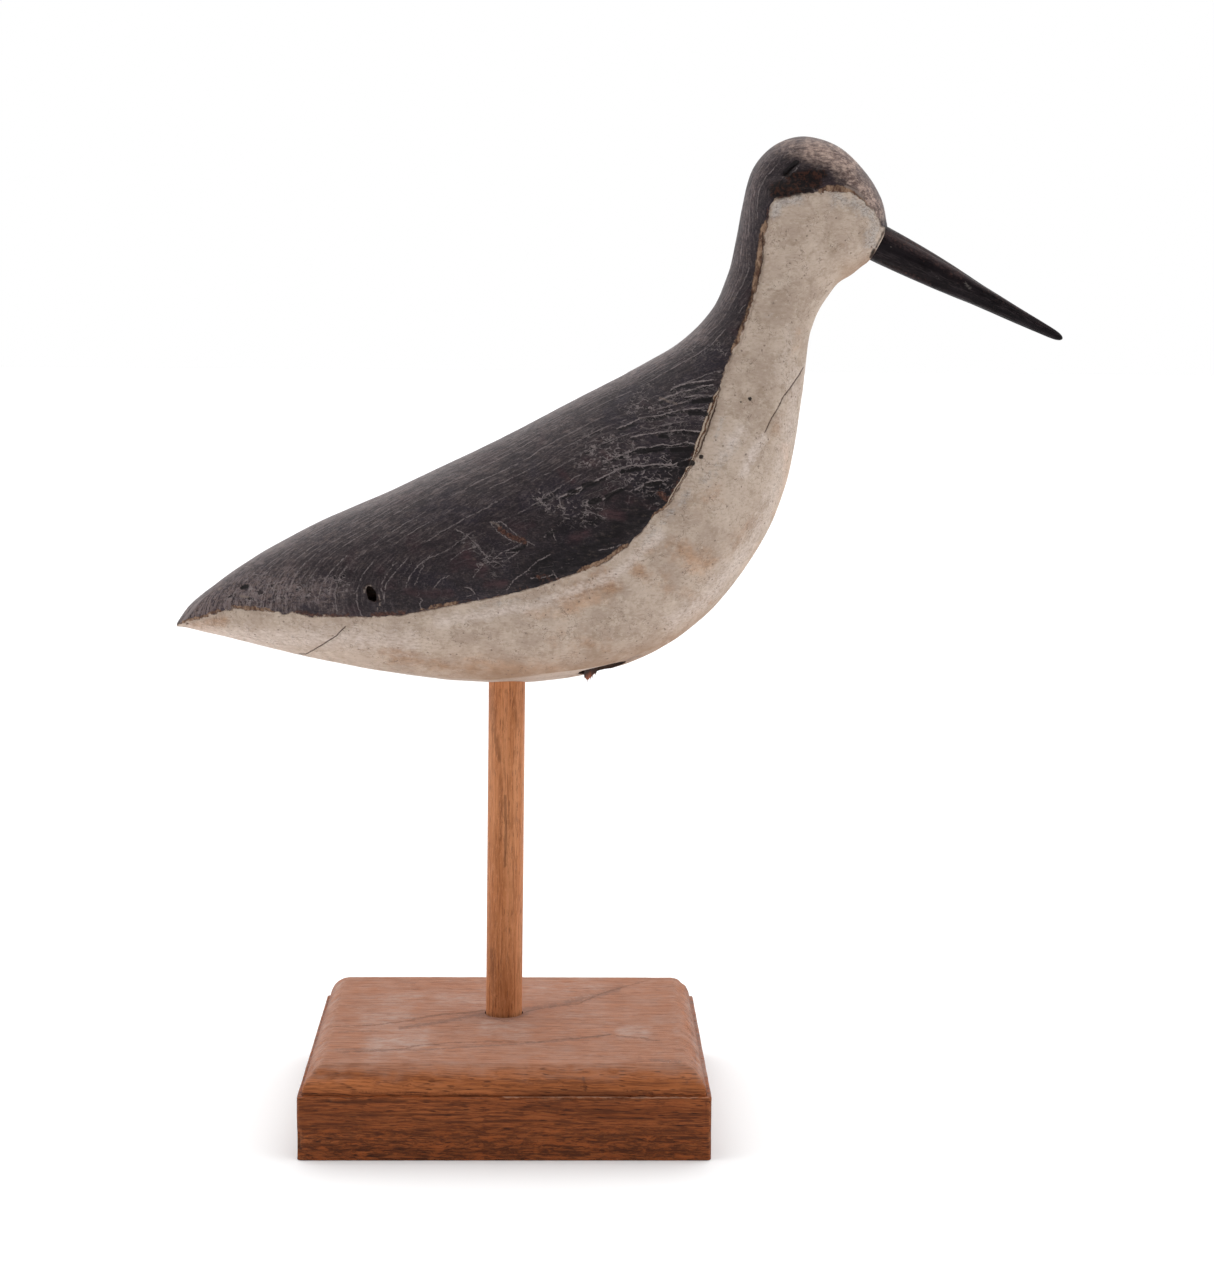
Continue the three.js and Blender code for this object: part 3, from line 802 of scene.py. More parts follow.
def ringSlope(points, normals):
    # how fast the depth changes along the surface
    behind = np.maximum(bird["ringBendFrom"] - (points - birdSeat)[:, 0], 0)
    inward = np.sign(points[:, 1] - birdSeat[1] - bird["ringMiddle"])
    tilt = np.full(len(points), bird["ringTilt"])
    change = np.stack([2 * bird["ringBend"] * behind, inward, tilt], -1)
    through = np.sum(change * normals, axis=1)
    return np.sqrt(np.clip(np.sum(change * change, axis=1) - through ** 2, 0, 1))


def besidePaths(places, paths):
    # signed distance beside the nearest path, more below it, and how far a place lies past the path's end
    nearest = np.full(len(places), 1e3)
    signed, past = nearest.copy(), nearest.copy()
    for path in paths:
        for number, (start, end) in enumerate(zip(path[:-1], path[1:])):
            run = np.subtract(end, start)
            length = math.hypot(*run)
            away = places - np.array(start)
            along = away @ run / length
            beside = (run[0] * away[:, 1] - run[1] * away[:, 0]) / length
            outside = np.maximum(-along, along - length)
            closer = np.hypot(beside, np.maximum(outside, 0)) < nearest
            nearest[closer] = np.hypot(beside, np.maximum(outside, 0))[closer]
            signed[closer] = beside[closer]
            before = -along if number == 0 else 0 * along
            beyond = along - length if number == len(path) - 2 else 0 * along
            past[closer] = np.maximum(np.maximum(before, beyond), 0)[closer]
    return signed / pixelsPerMm, past / pixelsPerMm


def facingAside(normals):
    # one on the flanks, nought on top of the tail
    return ease(np.abs(normals[:, 1]), 0.2, 0.45)


def carve(piece):
    points, normals = pointsOf(piece), normalsOf(piece)
    places = nearPlace(points)
    near = ease(birdSeat[1] - points[:, 1], 0, 4)
    gap = paintGap(places)
    push = bird["whittling"] * (softNoise(points, (24, 12, 15), 3) - 0.55)
    push += 0.09 * softNoise(points, (7, 5, 5), 4)

    # the dark paint's edge stands out a little, with a fine groove along it
    rise = np.zeros(len(points))
    for path, halfWidth, height in birdMarks["ledge"]:
        rise = np.maximum(rise, height * ease(halfWidth - fromPath(places, path), 0, halfWidth * 0.7))
    push += rise * (ease(gap, -0.7, 0.5) - 1.0) * ease(gap, -16, -2) + 0.25 * rise * ease(gap, -1, 0.6)
    push -= (0.12 + 0.5 * rise) * np.exp(-((gap + 0.55) / 0.5) ** 2)

    crackWidth, crackDepth = 2.2, 0.35
    for path, halfWidth, depth in birdMarks["cuts"]:
        push -= near * depth * ease(halfWidth - fromPath(places, path), 0, halfWidth)
    for path in birdMarks["cracks"]:
        push -= near * crackDepth * ease(crackWidth - fromPath(places, path), 0, crackWidth)
    push += 0.25 * facingAside(normals) * np.exp(-(fromPath(places, birdMarks["arris"]) / 3.0) ** 2)

    # growth rings stand out where they lie far enough apart
    slope = ringSlope(points, normals)
    shown = ease(bird["ringSpacing"] / np.maximum(slope, 0.05), 2.2, 4.0) * ease(gap, 0, 2)
    turn = np.cos(2 * np.pi * ringDepth(points) / bird["ringSpacing"])
    push += shown * bird["ringRidge"] * turn * (0.5 + 0.5 * softNoise(points, 16, 5))
    fade = ease(points[:, 0] - points[:, 0].min(), 0, 3)  # the tail's tip keeps its place
    movePoints(piece, points + normals * (push * fade)[:, None])


def bellyAt(x):
    ends = [row[1] for row in bird["stations"]]
    track = curveAt(ends, np.linspace(0, 0.6, 4001)) * bird["carvingLength"] / 1000
    return track[np.argmin(np.abs(track[:, 0] - x)), 1]


def faceFrame():
    # the middle of the face, turned so that Z points along the bill
    thousandth = bird["carvingLength"] / 1000
    top, bottom = (np.array(end) * thousandth for end in bird["stations"][-1][:2])
    lean = math.atan2(top[0] - bottom[0], top[1] - bottom[1])
    middle = Vector(((top[0] + bottom[0]) / 2, 0, (top[1] + bottom[1]) / 2)) + Vector(birdSeat)
    turned = Matrix.Rotation(math.pi / 2 + lean, 4, "Y")
    return Matrix.Translation(middle) @ turned, np.hypot(*(top - bottom))


stakeX, stakeY = bird["stakeHole"]["place"]
stakeMouth = Vector((birdSeat[0] + stakeX, birdSeat[1] + stakeY, birdSeat[2] + bellyAt(stakeX)))


def birdCutters():
    thousandth = bird["carvingLength"] / 1000
    radius = stand["rodDiameter"] / 2 + stand["fit"]
    belowBelly = 60  # above the base's top, clear of the bird
    top = stand["rodClear"] + stand["bellySocketDepth"]
    rodSocket = roundCutter("rodSocket", rodTurn, (radius, radius), belowBelly, top)
    radius, depth = bird["stakeHole"]["diameter"] / 2, bird["stakeHole"]["depth"]
    mouth = Matrix.Translation(stakeMouth)
    stakeHole = roundCutter("stakeHole", mouth, (radius, radius), -depth, depth, 96, 0.012)
    flank = bird["flankHole"]
    centre = Vector((flank["place"][0] * thousandth, 0, flank["place"][1] * thousandth)) + Vector(birdSeat)
    turn = Matrix.Translation(centre) @ Matrix.Rotation(math.radians(flank["turn"]), 4, "Y")
    turn = turn @ Matrix.Rotation(math.pi / 2, 4, "X")
    half = [share * thousandth for share in flank["half"]]
    surface = bird["bodyWidth"] / 2
    flankHole = roundCutter("flankHole", turn, half, flank["floor"] * surface, surface + 1, 48, 0.1)
    return [rodSocket, stakeHole, flankHole]


def addBirdFields(piece):
    points, normals = pointsOf(piece), normalsOf(piece)
    places = nearPlace(points)
    near = ease(birdSeat[1] - points[:, 1], -2, 2)
    far = 1 - near
    addField(piece, "paintGap", paintGap(places) + far * 1.1 * softNoise(points, (14, 9, 9), 21))
    addField(piece, "ringDepth", ringDepth(points))
    addField(piece, "ringSlope", ringSlope(points, normals))
    # the paint's edge is most ragged on the tail, and more so on the neck than on the flank
    ragged = 0.3 + 0.7 * ease(-places[:, 0], -400, -300) + 0.25 * ease(places[:, 0], 640, 700)
    addField(piece, "ragged", ragged)
    for name in ("tan", "lip", "pale", "rust", "maroon", "grey", "deep", "crackle", "crown", "scuff", "soot",
                 "black", "stain", "peach", "blue"):
        values = strokes(places, birdMarks[name])
        own = 0.75 + 0.5 * softNoise(points, 18, 31 + len(name))  # the far side has its own wear
        addField(piece, name, values * (near + far * np.clip(own, 0, 1)))
    for name in ("scratches", "cracks", "ridges", "nextRidges"):
        beside, past = besidePaths(places, birdMarks[name])
        addField(piece, name, beside)
        addField(piece, name + "Past", past + offFar * far)
    arris = fromPath(places, birdMarks["arris"]) / pixelsPerMm
    addField(piece, "arris", arris + 4 * (1 - facingAside(normals)))


def darkPaint(made, place, along):
    # charcoal paint over the wood's growth rings: thin grey ridges, black islands and crackle
    field, mix, noise, rise = made.field, made.mix, made.noise, made.rise
    times, plus, most, minus = made.times, made.plus, made.most, made.minus
    within, frayed, layer = made.within, made.frayed, made.layer
    fine = noise(along, 0.7, 4.0, 0.65)
    grit = noise(made.stretch(place, (0.6, 1, 1), (0, 24, 0)), 2.2, 3.0, 0.75)
    broad = noise(place, 0.07, 3.0, 0.6)
    deep = frayed("deep", noise(place, 0.12, 4.0, 0.65), 0.9, 0.15, 0.95)
    # grey over the dark paint: wear, with painted sheen along the top of the back and neck
    worn = frayed("grey", noise(along, 0.3, 5.0, 0.7), 1.0, 0.0, 1.0)
    grits = plus(times(worn, 0.5), times(minus(1.0, deep), 0.2), 0.05)
    colour = layer(
        mix(rise(broad, 0.36, 0.52), (40, 34, 41), (44, 37, 40)),
        (rise(broad, 0.57, 0.68), 0.8, (52, 38, 42)),
        (rise(fine, 0.6, 0.3), 0.6, (28, 23, 26)),
        (deep, 0.85, mix(rise(fine, 0.4, 0.65), (13, 10, 12), (30, 25, 28))),
        (worn, 0.8, mix(rise(noise(along, 1.1, 5.0, 0.75), 0.38, 0.62), (66, 58, 64), (124, 107, 102))),
        (rise(grit, 0.52, 0.68), grits, (118, 107, 107)),
        (rise(grit, 0.46, 0.32), 0.5, (26, 21, 24)),
        (frayed("maroon", noise(place, 0.3, 4.0, 0.7), 0.9, 0.3, 0.9), 0.65,
         mix(rise(fine, 0.4, 0.6), (50, 33, 38), (76, 54, 56))))

    # growth rings: fine threads where the wood is worn, and single broken ridges of even width
    wobble = times(minus(noise(place, 0.8, 3.0, 0.65), 0.5), 0.45)
    depth = plus(field("ringDepth"), times(noise(along, 0.22, 3.0, 0.6), 0.9), wobble)
    part = made.parts(place)
    threads = noise(made.combine(depth, times(part["X"], 0.1), times(part["Z"], 0.1)), 2.8, 3.0, 0.66)
    threadShare = times(plus(times(worn, 0.7), 0.15), rise(field("ringSlope"), 0.14, 0.4))
    slope = most(field("ringSlope"), 0.16)

    def ringsAt(spacing, seed):
        # signed distance from the nearest ring, in millimetres, and a random number of its own
        counted = made.over(depth, spacing)
        offset = minus(made.maths("FRACT", counted), 0.5)
        own = made.node("ShaderNodeTexWhiteNoise", {"W": plus(made.maths("FLOOR", counted), seed)},
                        noise_dimensions="1D").outputs["Value"]
        return made.over(times(offset, spacing), slope), own

    ringGap, own = ringsAt(bird["ringSpacing"], 0.0)
    fineGap, fineOwn = ringsAt(bird["ringSpacing"] * 0.45, 40.0)
    chosen = rise(own, 0.3, 0.75)
    broken = times(rise(noise(along, 0.16, 4.0, 0.7), 0.42, 0.56),
                   rise(noise(place, 0.7, 3.0, 0.7), 0.36, 0.5))
    ringLine = times(within(ringGap, 0.32, 0.1), broken, chosen)
    fineLine = times(within(fineGap, 0.24, 0.07), rise(fineOwn, 0.35, 0.8),
                     rise(noise(along, 0.5, 4.0, 0.75), 0.46, 0.6), plus(times(worn, 0.5), 0.3))
    zone = frayed("crackle", noise(place, 0.14, 3.0, 0.6), 1.3, 0.25, 0.8)
    ridgeSpan = times(rise(ringGap, 0.2, 0.45), rise(ringGap, 1.9, 0.9))
    recess = times(ridgeSpan, broken, chosen, plus(times(zone, 0.85), 0.1))

    # small islands of paint along the rings, each with a raised grey rim, and a web of cracks between them
    turned = made.stretch(made.warped(place, 2.2, 1.3), (0.6, 1, 1), (0, 20, 0))
    offIsland = minus(noise(turned, 0.62, 2.0, 0.5), 0.57)
    clumps = rise(noise(turned, 0.26, 3.0, 0.6), 0.45, 0.54)
    rims = times(within(offIsland, 0.04, 0.012), zone, clumps)
    islands = times(rise(offIsland, 0.02, 0.06), zone, clumps)
    web = made.cells(turned, 0.62, "DISTANCE_TO_EDGE")["Distance"]
    webShare = times(frayed("crackle", noise(place, 0.3, 4.0, 0.7), 1.6, 0.3, 0.8),
                     rise(noise(place, 0.5, 3.0, 0.7), 0.47, 0.58))
    crackle = most(rims, times(rise(web, 0.1, 0.03), webShare, 0.8))

    # drawn lines: scratches, and single rings that stand out, painted lighter along the top as a highlight,
    # with painted shadow in a dark hollow just below
    lineNoise = minus(noise(place, 1.0, 4.0, 0.72), 0.5)

    def drawn(name):
        # how far beside the nearest line a place lies, and a mask that stops at the line's ends
        return plus(field(name), times(lineNoise, 1.4)), rise(field(name + "Past"), 0.9, 0.2)

    def thin(beside, ends, halfWidth):
        return times(within(beside, halfWidth, halfWidth * 0.4), ends)

    ridges = [drawn(name) for name in ("ridges", "nextRidges")]
    ridgeLine = times(most(*(thin(*ridge, 0.33) for ridge in ridges)),
                      rise(noise(along, 0.6, 4.0, 0.75), 0.3, 0.52))
    # painted shadow: a dark band just below each ridge, which also dips the surface a little
    hollows = (times(rise(beside, 0.12, 0.35), rise(beside, 2.2, 0.9), ends) for beside, ends in ridges)
    hollow = times(most(*hollows), rise(noise(along, 0.33, 4.0, 0.7), 0.42, 0.5))
    scratchLine = times(thin(*drawn("scratches"), 0.27), rise(noise(place, 0.8, 3.0, 0.7), 0.36, 0.56))
    # painted highlight along the tail's top edge
    arrisLine = times(rise(field("arris"), 0.75, 0.25), 0.9)
    lines = most(times(ringLine, 0.6), times(fineLine, 0.55), times(crackle, 0.85), ridgeLine, arrisLine,
                 times(scratchLine, 0.75))

    # the paler crown: worn paint and painted sheen
    streaks = noise(made.stretch(place, (0.3, 1, 1), (0, -33, 0)), 1.2, 4.0, 0.72)
    streaks = plus(times(streaks, 0.55), times(noise(place, 0.42, 4.0, 0.68), 0.45))
    crownColour = layer(mix(rise(streaks, 0.4, 0.62), (104, 84, 78), (190, 166, 153)),
                        (rise(grit, 0.55, 0.68), 0.4, (78, 62, 60)))
    colour = layer(
        colour,
        (rise(threads, 0.52, 0.62), threadShare, (124, 111, 110)),
        (rise(threads, 0.46, 0.34), threadShare, (30, 25, 27)),
        (recess, 0.85, (22, 18, 20)),
        (islands, 0.8, (20, 16, 18)),
        (hollow, 0.85, (20, 16, 18)),
        (lines, 0.85, (140, 129, 128)),
        (frayed("crown", streaks, 1.2, 0.0, 0.95), 0.88, crownColour),
        (made.specks(place, 4.0, 0.1, 0.4), 0.7, (140, 132, 126)))
    return colour, lines, fine, most(recess, hollow)


def whitePaint(made, place):
    # ivory paint on the front and belly: mottled, rubbed, stained, with hairlines, specks and painted light
    # and shade
    mix, noise, rise, times, frayed = made.mix, made.noise, made.rise, made.times, made.frayed
    grain = noise(made.stretch(place, (0.4, 1, 1)), 1.3, 5.0, 0.72)
    grime = noise(made.warped(place, 7.0, 4.0), 0.2, 6.0, 0.74)
    smear = frayed("blue", noise(place, 0.35, 5.0, 0.75), 1.9, 0.25, 0.95)

    # painted shade: the lower sides, facing down, are browner and darker; painted light: the planed underside
    # is paler
    fall = made.parts(made.node("ShaderNodeNewGeometry").outputs["Normal"])["Z"]
    planed = rise(fall, -0.93, -0.96)
    underMiddle = rise(made.parts(place)["X"], birdSeat[0] - 36, birdSeat[0] - 2)
    lowSide = times(rise(fall, -0.45, -0.85), made.minus(1.0, planed), underMiddle)

    hair = times(made.hairs(made.warped(place, 3.0, 1.5), 0.42, 0.014),
                 rise(noise(place, 0.21, 2.0), 0.45, 0.58))
    crazed = times(made.hairs(made.warped(place, 1.6, 0.9), 0.8, 0.022), rise(smear, 0.2, 0.7))
    speck = made.specks(place, 2.2, 0.22, 0.3)
    colour = made.layer(
        mix(rise(noise(place, 0.08, 4.0, 0.6), 0.36, 0.64), (192, 174, 159), (172, 153, 138)),
        (rise(noise(place, 0.17, 5.0, 0.68), 0.52, 0.66), 0.6, (203, 187, 172)),
        (rise(grime, 0.5, 0.66), 0.46, (148, 128, 108)),
        (rise(grain, 0.5, 0.68), 0.55, (150, 131, 115)),
        (rise(grain, 0.46, 0.3), 0.4, (210, 196, 183)),
        (frayed("stain", noise(place, 0.24, 5.0, 0.7), 1.5, 0.15, 0.95), 0.72,
         mix(rise(grain, 0.4, 0.6), (172, 134, 103), (144, 109, 82))),
        (frayed("peach", noise(place, 0.3, 4.0, 0.7), 1.4, 0.2, 0.9), 0.5, (203, 166, 138)),
        (smear, 0.65, mix(rise(grain, 0.42, 0.6), (186, 180, 176), (140, 137, 136))),
        # paler: rubbed patches, and painted rim light along the outer edges
        (frayed("pale", noise(place, 0.3, 4.0, 0.7), 1.2, 0.15, 0.95), 0.72,
         mix(rise(grain, 0.4, 0.62), (220, 207, 199), (188, 171, 160))),
        # painted shade on the downward-facing lower sides, varied by the mottling; painted light on the
        # planed underside
        (lowSide, rise(grime, 0.3, 0.6, 0.42, 0.78), (148, 118, 94)),
        (planed, 0.5, (186, 170, 158)),
        (made.most(times(speck, 0.65), times(hair, 0.6), times(crazed, 0.6)), (104, 88, 77)))
    return colour, grain, speck


def paintedWood():
    material, made = newMaterial("paintedWood", 0.16)
    field, mix, noise, rise = made.field, made.mix, made.noise, made.rise
    times, plus, most, minus = made.times, made.plus, made.most, made.minus
    within, frayed, layer = made.within, made.frayed, made.layer
    place = made.placeInMm()
    along = made.stretch(place, (0.3, 1, 1), (0, 24, 0))
    jag = minus(noise(place, 0.33, 5.0, 0.62), 0.5)
    edge = plus(field("paintGap"), times(jag, field("ragged"), 5.0))
    dark = rise(edge, -0.1, 0.16)
    darkColour, lines, fine, recess = darkPaint(made, place, along)
    whiteColour, grain, speck = whitePaint(made, place)

    # wood that shows where the paint has worn off, mostly along the edge between the two
    wear = noise(place, 0.75, 4.0, 0.65)
    flakes = noise(place, 1.3, 5.0, 0.75)
    rustColour = layer(mix(rise(flakes, 0.38, 0.62), (44, 26, 24), (98, 66, 54)),
                       (rise(flakes, 0.6, 0.68), 0.7, (150, 128, 114)))
    zone = field("tan")
    inward = made.over(plus(edge, times(minus(wear, 0.5), 2.2)), plus(times(zone, 2.6), 0.1))
    tan = times(rise(inward, 1.0, 0.6), rise(inward, -0.15, 0.05), rise(zone, 0.1, 0.35))
    bare = noise(made.stretch(place, (1, 1, 0.4)), 0.8, 4.0, 0.65)
    bareColour = layer(mix(rise(bare, 0.36, 0.64), (86, 61, 48), (152, 124, 102)),
                       (rise(flakes, 0.58, 0.68), 0.7, (192, 168, 146)),
                       (rise(inward, 0.6, 1.0), 0.7, (62, 40, 32)))

    # the double ridge at the shoulder, and elsewhere a thin brown line along the paint's edge, painted shade
    # in its groove
    band = rise(field("lip"), 0.12, 0.4)
    bandPlace = made.over(edge, plus(times(rise(field("lip"), 0.3, 0.95), 2.2), 0.7))
    inBand = times(within(plus(bandPlace, -0.5), 0.6, 0.48), band)
    ridges = most(times(within(plus(bandPlace, -0.14), 0.13, 0.05), 0.75),
                  times(within(plus(bandPlace, -0.68), 0.26, 0.14), rise(noise(place, 0.5, 3.0), 0.3, 0.42)))
    lip = times(ridges, band)
    rim = times(within(plus(edge, 0.1), 0.4, 0.1), rise(noise(place, 0.3, 3.0), 0.4, 0.56))

    crackGap = plus(field("cracks"), times(plus(noise(place, 1.2, 3.0), -0.5), 0.5))
    crack = times(within(crackGap, 0.26, 0.08), rise(field("cracksPast"), 0.6, 0.1),
                  rise(wear, 0.3, 0.46, 0.5, 1.0))
    black = frayed("black", noise(place, 0.7, 4.0, 0.7), 0.9, 0.35, 0.6)
    colour = layer(
        mix(dark, whiteColour, darkColour),
        (frayed("rust", wear, 1.5, 0.42, 0.72), 0.88, rustColour),
        (tan, 0.92, bareColour),
        (inBand, 0.95, mix(rise(wear, 0.4, 0.6), (64, 42, 32), (104, 74, 54))),
        (lip, 0.88, (184, 166, 149)),
        # painted shade in the groove along the paint's edge
        (rim, 0.6, (72, 50, 40)),
        (crack, 0.8, (66, 50, 42)),
        # dark marks and painted shade in the hollows
        (frayed("soot", noise(place, 0.6, 4.0, 0.6), 0.8, 0.25, 0.85), 0.92,
         mix(rise(wear, 0.44, 0.64), (14, 8, 8), (58, 33, 24))),
        (black, 0.92, (20, 16, 17)),
        (frayed("scuff", noise(place, 0.9, 4.0, 0.7), 1.0, 0.4, 0.7), 0.8, (128, 114, 106)))

    roughness = made.blend(dark, 0.74, made.blend(rise(fine, 0.3, 0.7), 0.58, 0.42))
    roughness = made.maths("ADD", roughness, times(most(lines, tan), 0.2), clamp=True)
    height = plus(times(lines, dark, 0.2), times(fine, dark, 0.16), times(grain, 0.1),
                  times(noise(place, 0.35, 4.0, 0.6), 0.18), times(dark, 0.1), times(lip, 0.12))
    hollow = plus(times(crack, 0.3), times(speck, 0.06), times(tan, 0.12),
                  times(most(recess, black), dark, 0.14))
    return finishMaterial(material, made, colour, roughness, minus(height, hollow))


# dark brown wood inside the holes and sockets: stained, and darkened further as painted shade of the recess
def holeWood():
    material, made = newMaterial("holeWood")
    wood = made.wood(made.placeInMm(), 2.2, 2.5, 0.4, 0.6)
    tone = made.mix(wood["Tone"], (34, 21, 14), (62, 40, 27))
    colour = made.layer(tone, (wood["Pores"], 0.7, (28, 18, 14)))
    roughness = made.rise(wood["Fibre"], 0.2, 0.8, 0.7, 0.95)
    return finishMaterial(material, made, colour, roughness, made.times(wood["Fibre"], 0.3))


def makeBird():
    rings = birdRings() + birdSeat
    count, sides = rings.shape[:2]
    faces = ringFaces(count, sides)
    faces += [list(range(sides)), list(range((count - 1) * sides, count * sides))]
    piece = makePiece("carvedBird", rings.reshape(-1, 3), faces)
    carve(piece)
    piece.data.materials.append(paintedWood())
    cutters, inner = birdCutters(), holeWood()
    for cutter in cutters:
        cutter.data.materials.append(inner)
    cutFrom(piece, cutters)
    smoothShade(piece)
    addBirdFields(piece)
    finishPiece(piece, "carved_bird", "painted_wood")


makeBird()

# Geometry Nodes helpers


def newShape(name, inputs):
    # a geometry tree with named inputs, each a kind and a value
    tree = bpy.data.node_groups.new(name, "GeometryNodeTree")
    kinds = {"number": "Float", "count": "Int", "point": "Vector", "finish": "Material"}
    for way in ("INPUT", "OUTPUT"):
        tree.interface.new_socket("Geometry", in_out=way, socket_type="NodeSocketGeometry")
    for key, (kind, _) in inputs.items():
        tree.interface.new_socket(key, in_out="INPUT", socket_type="NodeSocket" + kinds[kind])
    given = tree.nodes.new("NodeGroupInput").outputs
    tree.nodes.new("NodeGroupOutput")
    return tools(tree), given


def shapeWith(piece, made, given, mesh, inputs):
    # ends the tree and applies it; a modifier takes its inputs by their sockets' identifiers
    real = made.node("GeometryNodeRealizeInstances", {"Geometry": mesh}).outputs[0]
    finished = made.node("GeometryNodeSetMaterial", {"Geometry": real, "Material": given["Finish"]})
    made.send({"Geometry": finished.outputs[0]})
    change = piece.modifiers.new(made.tree.name, "NODES")
    change.node_group = made.tree
    for item in made.tree.interface.items_tree:
        if item.in_out == "INPUT" and item.name in inputs:
            change[item.identifier] = inputs[item.name][1]
    settle(piece)


def sweep(name, settings, start, end, radius, finish):
    # a round bar along a straight path, a little uneven, with a radius that may follow a curve
    piece = makePiece(name, [(0, 0, 0)], [])
    inputs = {
        "Start": ("point", start * metresPerMm),
        "End": ("point", end * metresPerMm),
        "Radius": ("number", radius * metresPerMm),
        "Steps": ("count", settings["steps"]),
        "Sides": ("count", settings["sides"]),
        "Stretch": ("point", settings["stretch"]),
        "Detail": ("number", settings["detail"]),
        "Unevenness": ("number", settings["unevenness"] * metresPerMm),
        "Finish": ("finish", finish),
    }
    made, given = newShape(name + "Shape", inputs)
    ends = {"Start": given["Start"], "End": given["End"]}
    path = made.node("GeometryNodeCurvePrimitiveLine", ends).outputs[0]
    path = made.node("GeometryNodeResampleCurve", {"Curve": path, "Count": given["Steps"]}).outputs[0]
    ring = {"Resolution": given["Sides"], "Radius": given["Radius"]}
    ring = made.node("GeometryNodeCurvePrimitiveCircle", ring).outputs["Curve"]
    scale, radiusCurve = 1.0, settings.get("radiusCurve")
    if radiusCurve:
        along = made.node("GeometryNodeSplineParameter").outputs["Factor"]
        curve = made.node("ShaderNodeFloatCurve", {"Value": along})
        points = curve.mapping.curves[0].points
        points[0].location, points[1].location = radiusCurve[0], radiusCurve[-1]
        for place in radiusCurve[1:-1]:
            points.new(*place)
        curve.mapping.update()
        scale = curve.outputs[0]
    bar = {"Curve": path, "Profile Curve": ring, "Scale": scale, "Fill Caps": True}
    mesh = made.node("GeometryNodeCurveToMesh", bar).outputs[0]
    stretched = made.vector("MULTIPLY", made.node("GeometryNodeInputPosition").outputs[0], given["Stretch"])
    amount = made.times(made.minus(made.noise(stretched, given["Detail"], 2.0), 0.5), given["Unevenness"])
    offset = made.scaled(made.node("GeometryNodeInputNormal").outputs[0], amount)
    mesh = made.node("GeometryNodeSetPosition", {"Geometry": mesh, "Offset": offset}).outputs[0]
    shapeWith(piece, made, given, mesh, inputs)
    return piece


# Rod: a dowel from one blind socket to the other
rod = {
    "sides": 96,
    "steps": 260,
    "unevenness": 0.16,
    "stretch": (1.0, 1.0, 0.12),  # a lower share draws the unevenness out along that axis
    "detail": 160.0,
    "marks": {
        # dark streaks, and painted shade where the rod meets the belly and the base
        "soot": [
            ([(505, 796), (506, 830), (505, 866)], 2.4, 1.3), ([(500, 690), (512, 696), (524, 690)], 5, 0.5),
            ([(487, 1014), (505, 1018), (522, 1013)], 5, 0.6), ([(492, 950), (494, 1005)], 6, 0.7),
            ([(492, 690), (494, 730), (500, 760)], 7, 0.75), ([(512, 690), (516, 720)], 5, 0.6),
            ([(502, 800), (500, 840)], 4, 0.6),
        ],
    },
}


def rodWood():
    material, made = newMaterial("rodWood", 0.25)
    rise, noise, times, stretch = made.rise, made.noise, made.times, made.stretch
    place = stretch(made.placeInMm(), (1, 1, 1), (0, 90, 0))
    wood = made.wood(place, 2.6, 3.2, 0.4, 1.2)
    flecks = noise(stretch(made.warped(place, 3.0, 1.0), (0.11, 1, 1)), 1.8, 4.0, 0.72)
    patches = rise(noise(stretch(place, (0.4, 1, 1)), 0.14, 3.0, 0.6), 0.4, 0.6, 0.45, 1.0)
    colour = made.layer(
        made.mix(wood["Tone"], (190, 120, 74), (208, 141, 96)),
        (rise(wood["Fibre"], 0.5, 0.38), 0.55, (148, 86, 46)),
        (rise(noise(stretch(place, (0.3, 1, 1)), 0.12, 3.0, 0.6), 0.45, 0.7), 0.4, (160, 98, 54)),
        (wood["Pores"], 0.5, (112, 66, 38)),
        (rise(flecks, 0.54, 0.64), patches, 0.55, (118, 70, 39)),
        (rise(flecks, 0.45, 0.36), 0.5, (220, 154, 108)),
        # dark streaks and painted shade at the rod's ends
        (made.frayed("soot", flecks, 1.8, 0.2, 0.9), 0.5, (104, 62, 36)))
    height = made.minus(times(wood["Fibre"], 0.1), times(wood["Pores"], 0.1))
    return finishMaterial(material, made, colour, rise(wood["Fibre"], 0.2, 0.8, 0.5, 0.68), height)


def makeRod():
    low = rodTurn @ Vector((0, 0, stand["fit"] - stand["baseSocketDepth"]))
    high = rodTurn @ Vector((0, 0, stand["rodClear"] + stand["bellySocketDepth"] - stand["fit"]))
    radius = (stand["rodDiameter"] - rod["unevenness"] / 2) / 2
    piece = sweep("standRod", rod, low, high, radius, rodWood())
    smoothShade(piece)
    points = pointsOf(piece)
    near = points[:, 1] < rodFoot.y
    addField(piece, "soot", strokes(photoPlace(points), rod["marks"]["soot"]) * near)
    finishPiece(piece, "rod", "rod_wood")


makeRod()

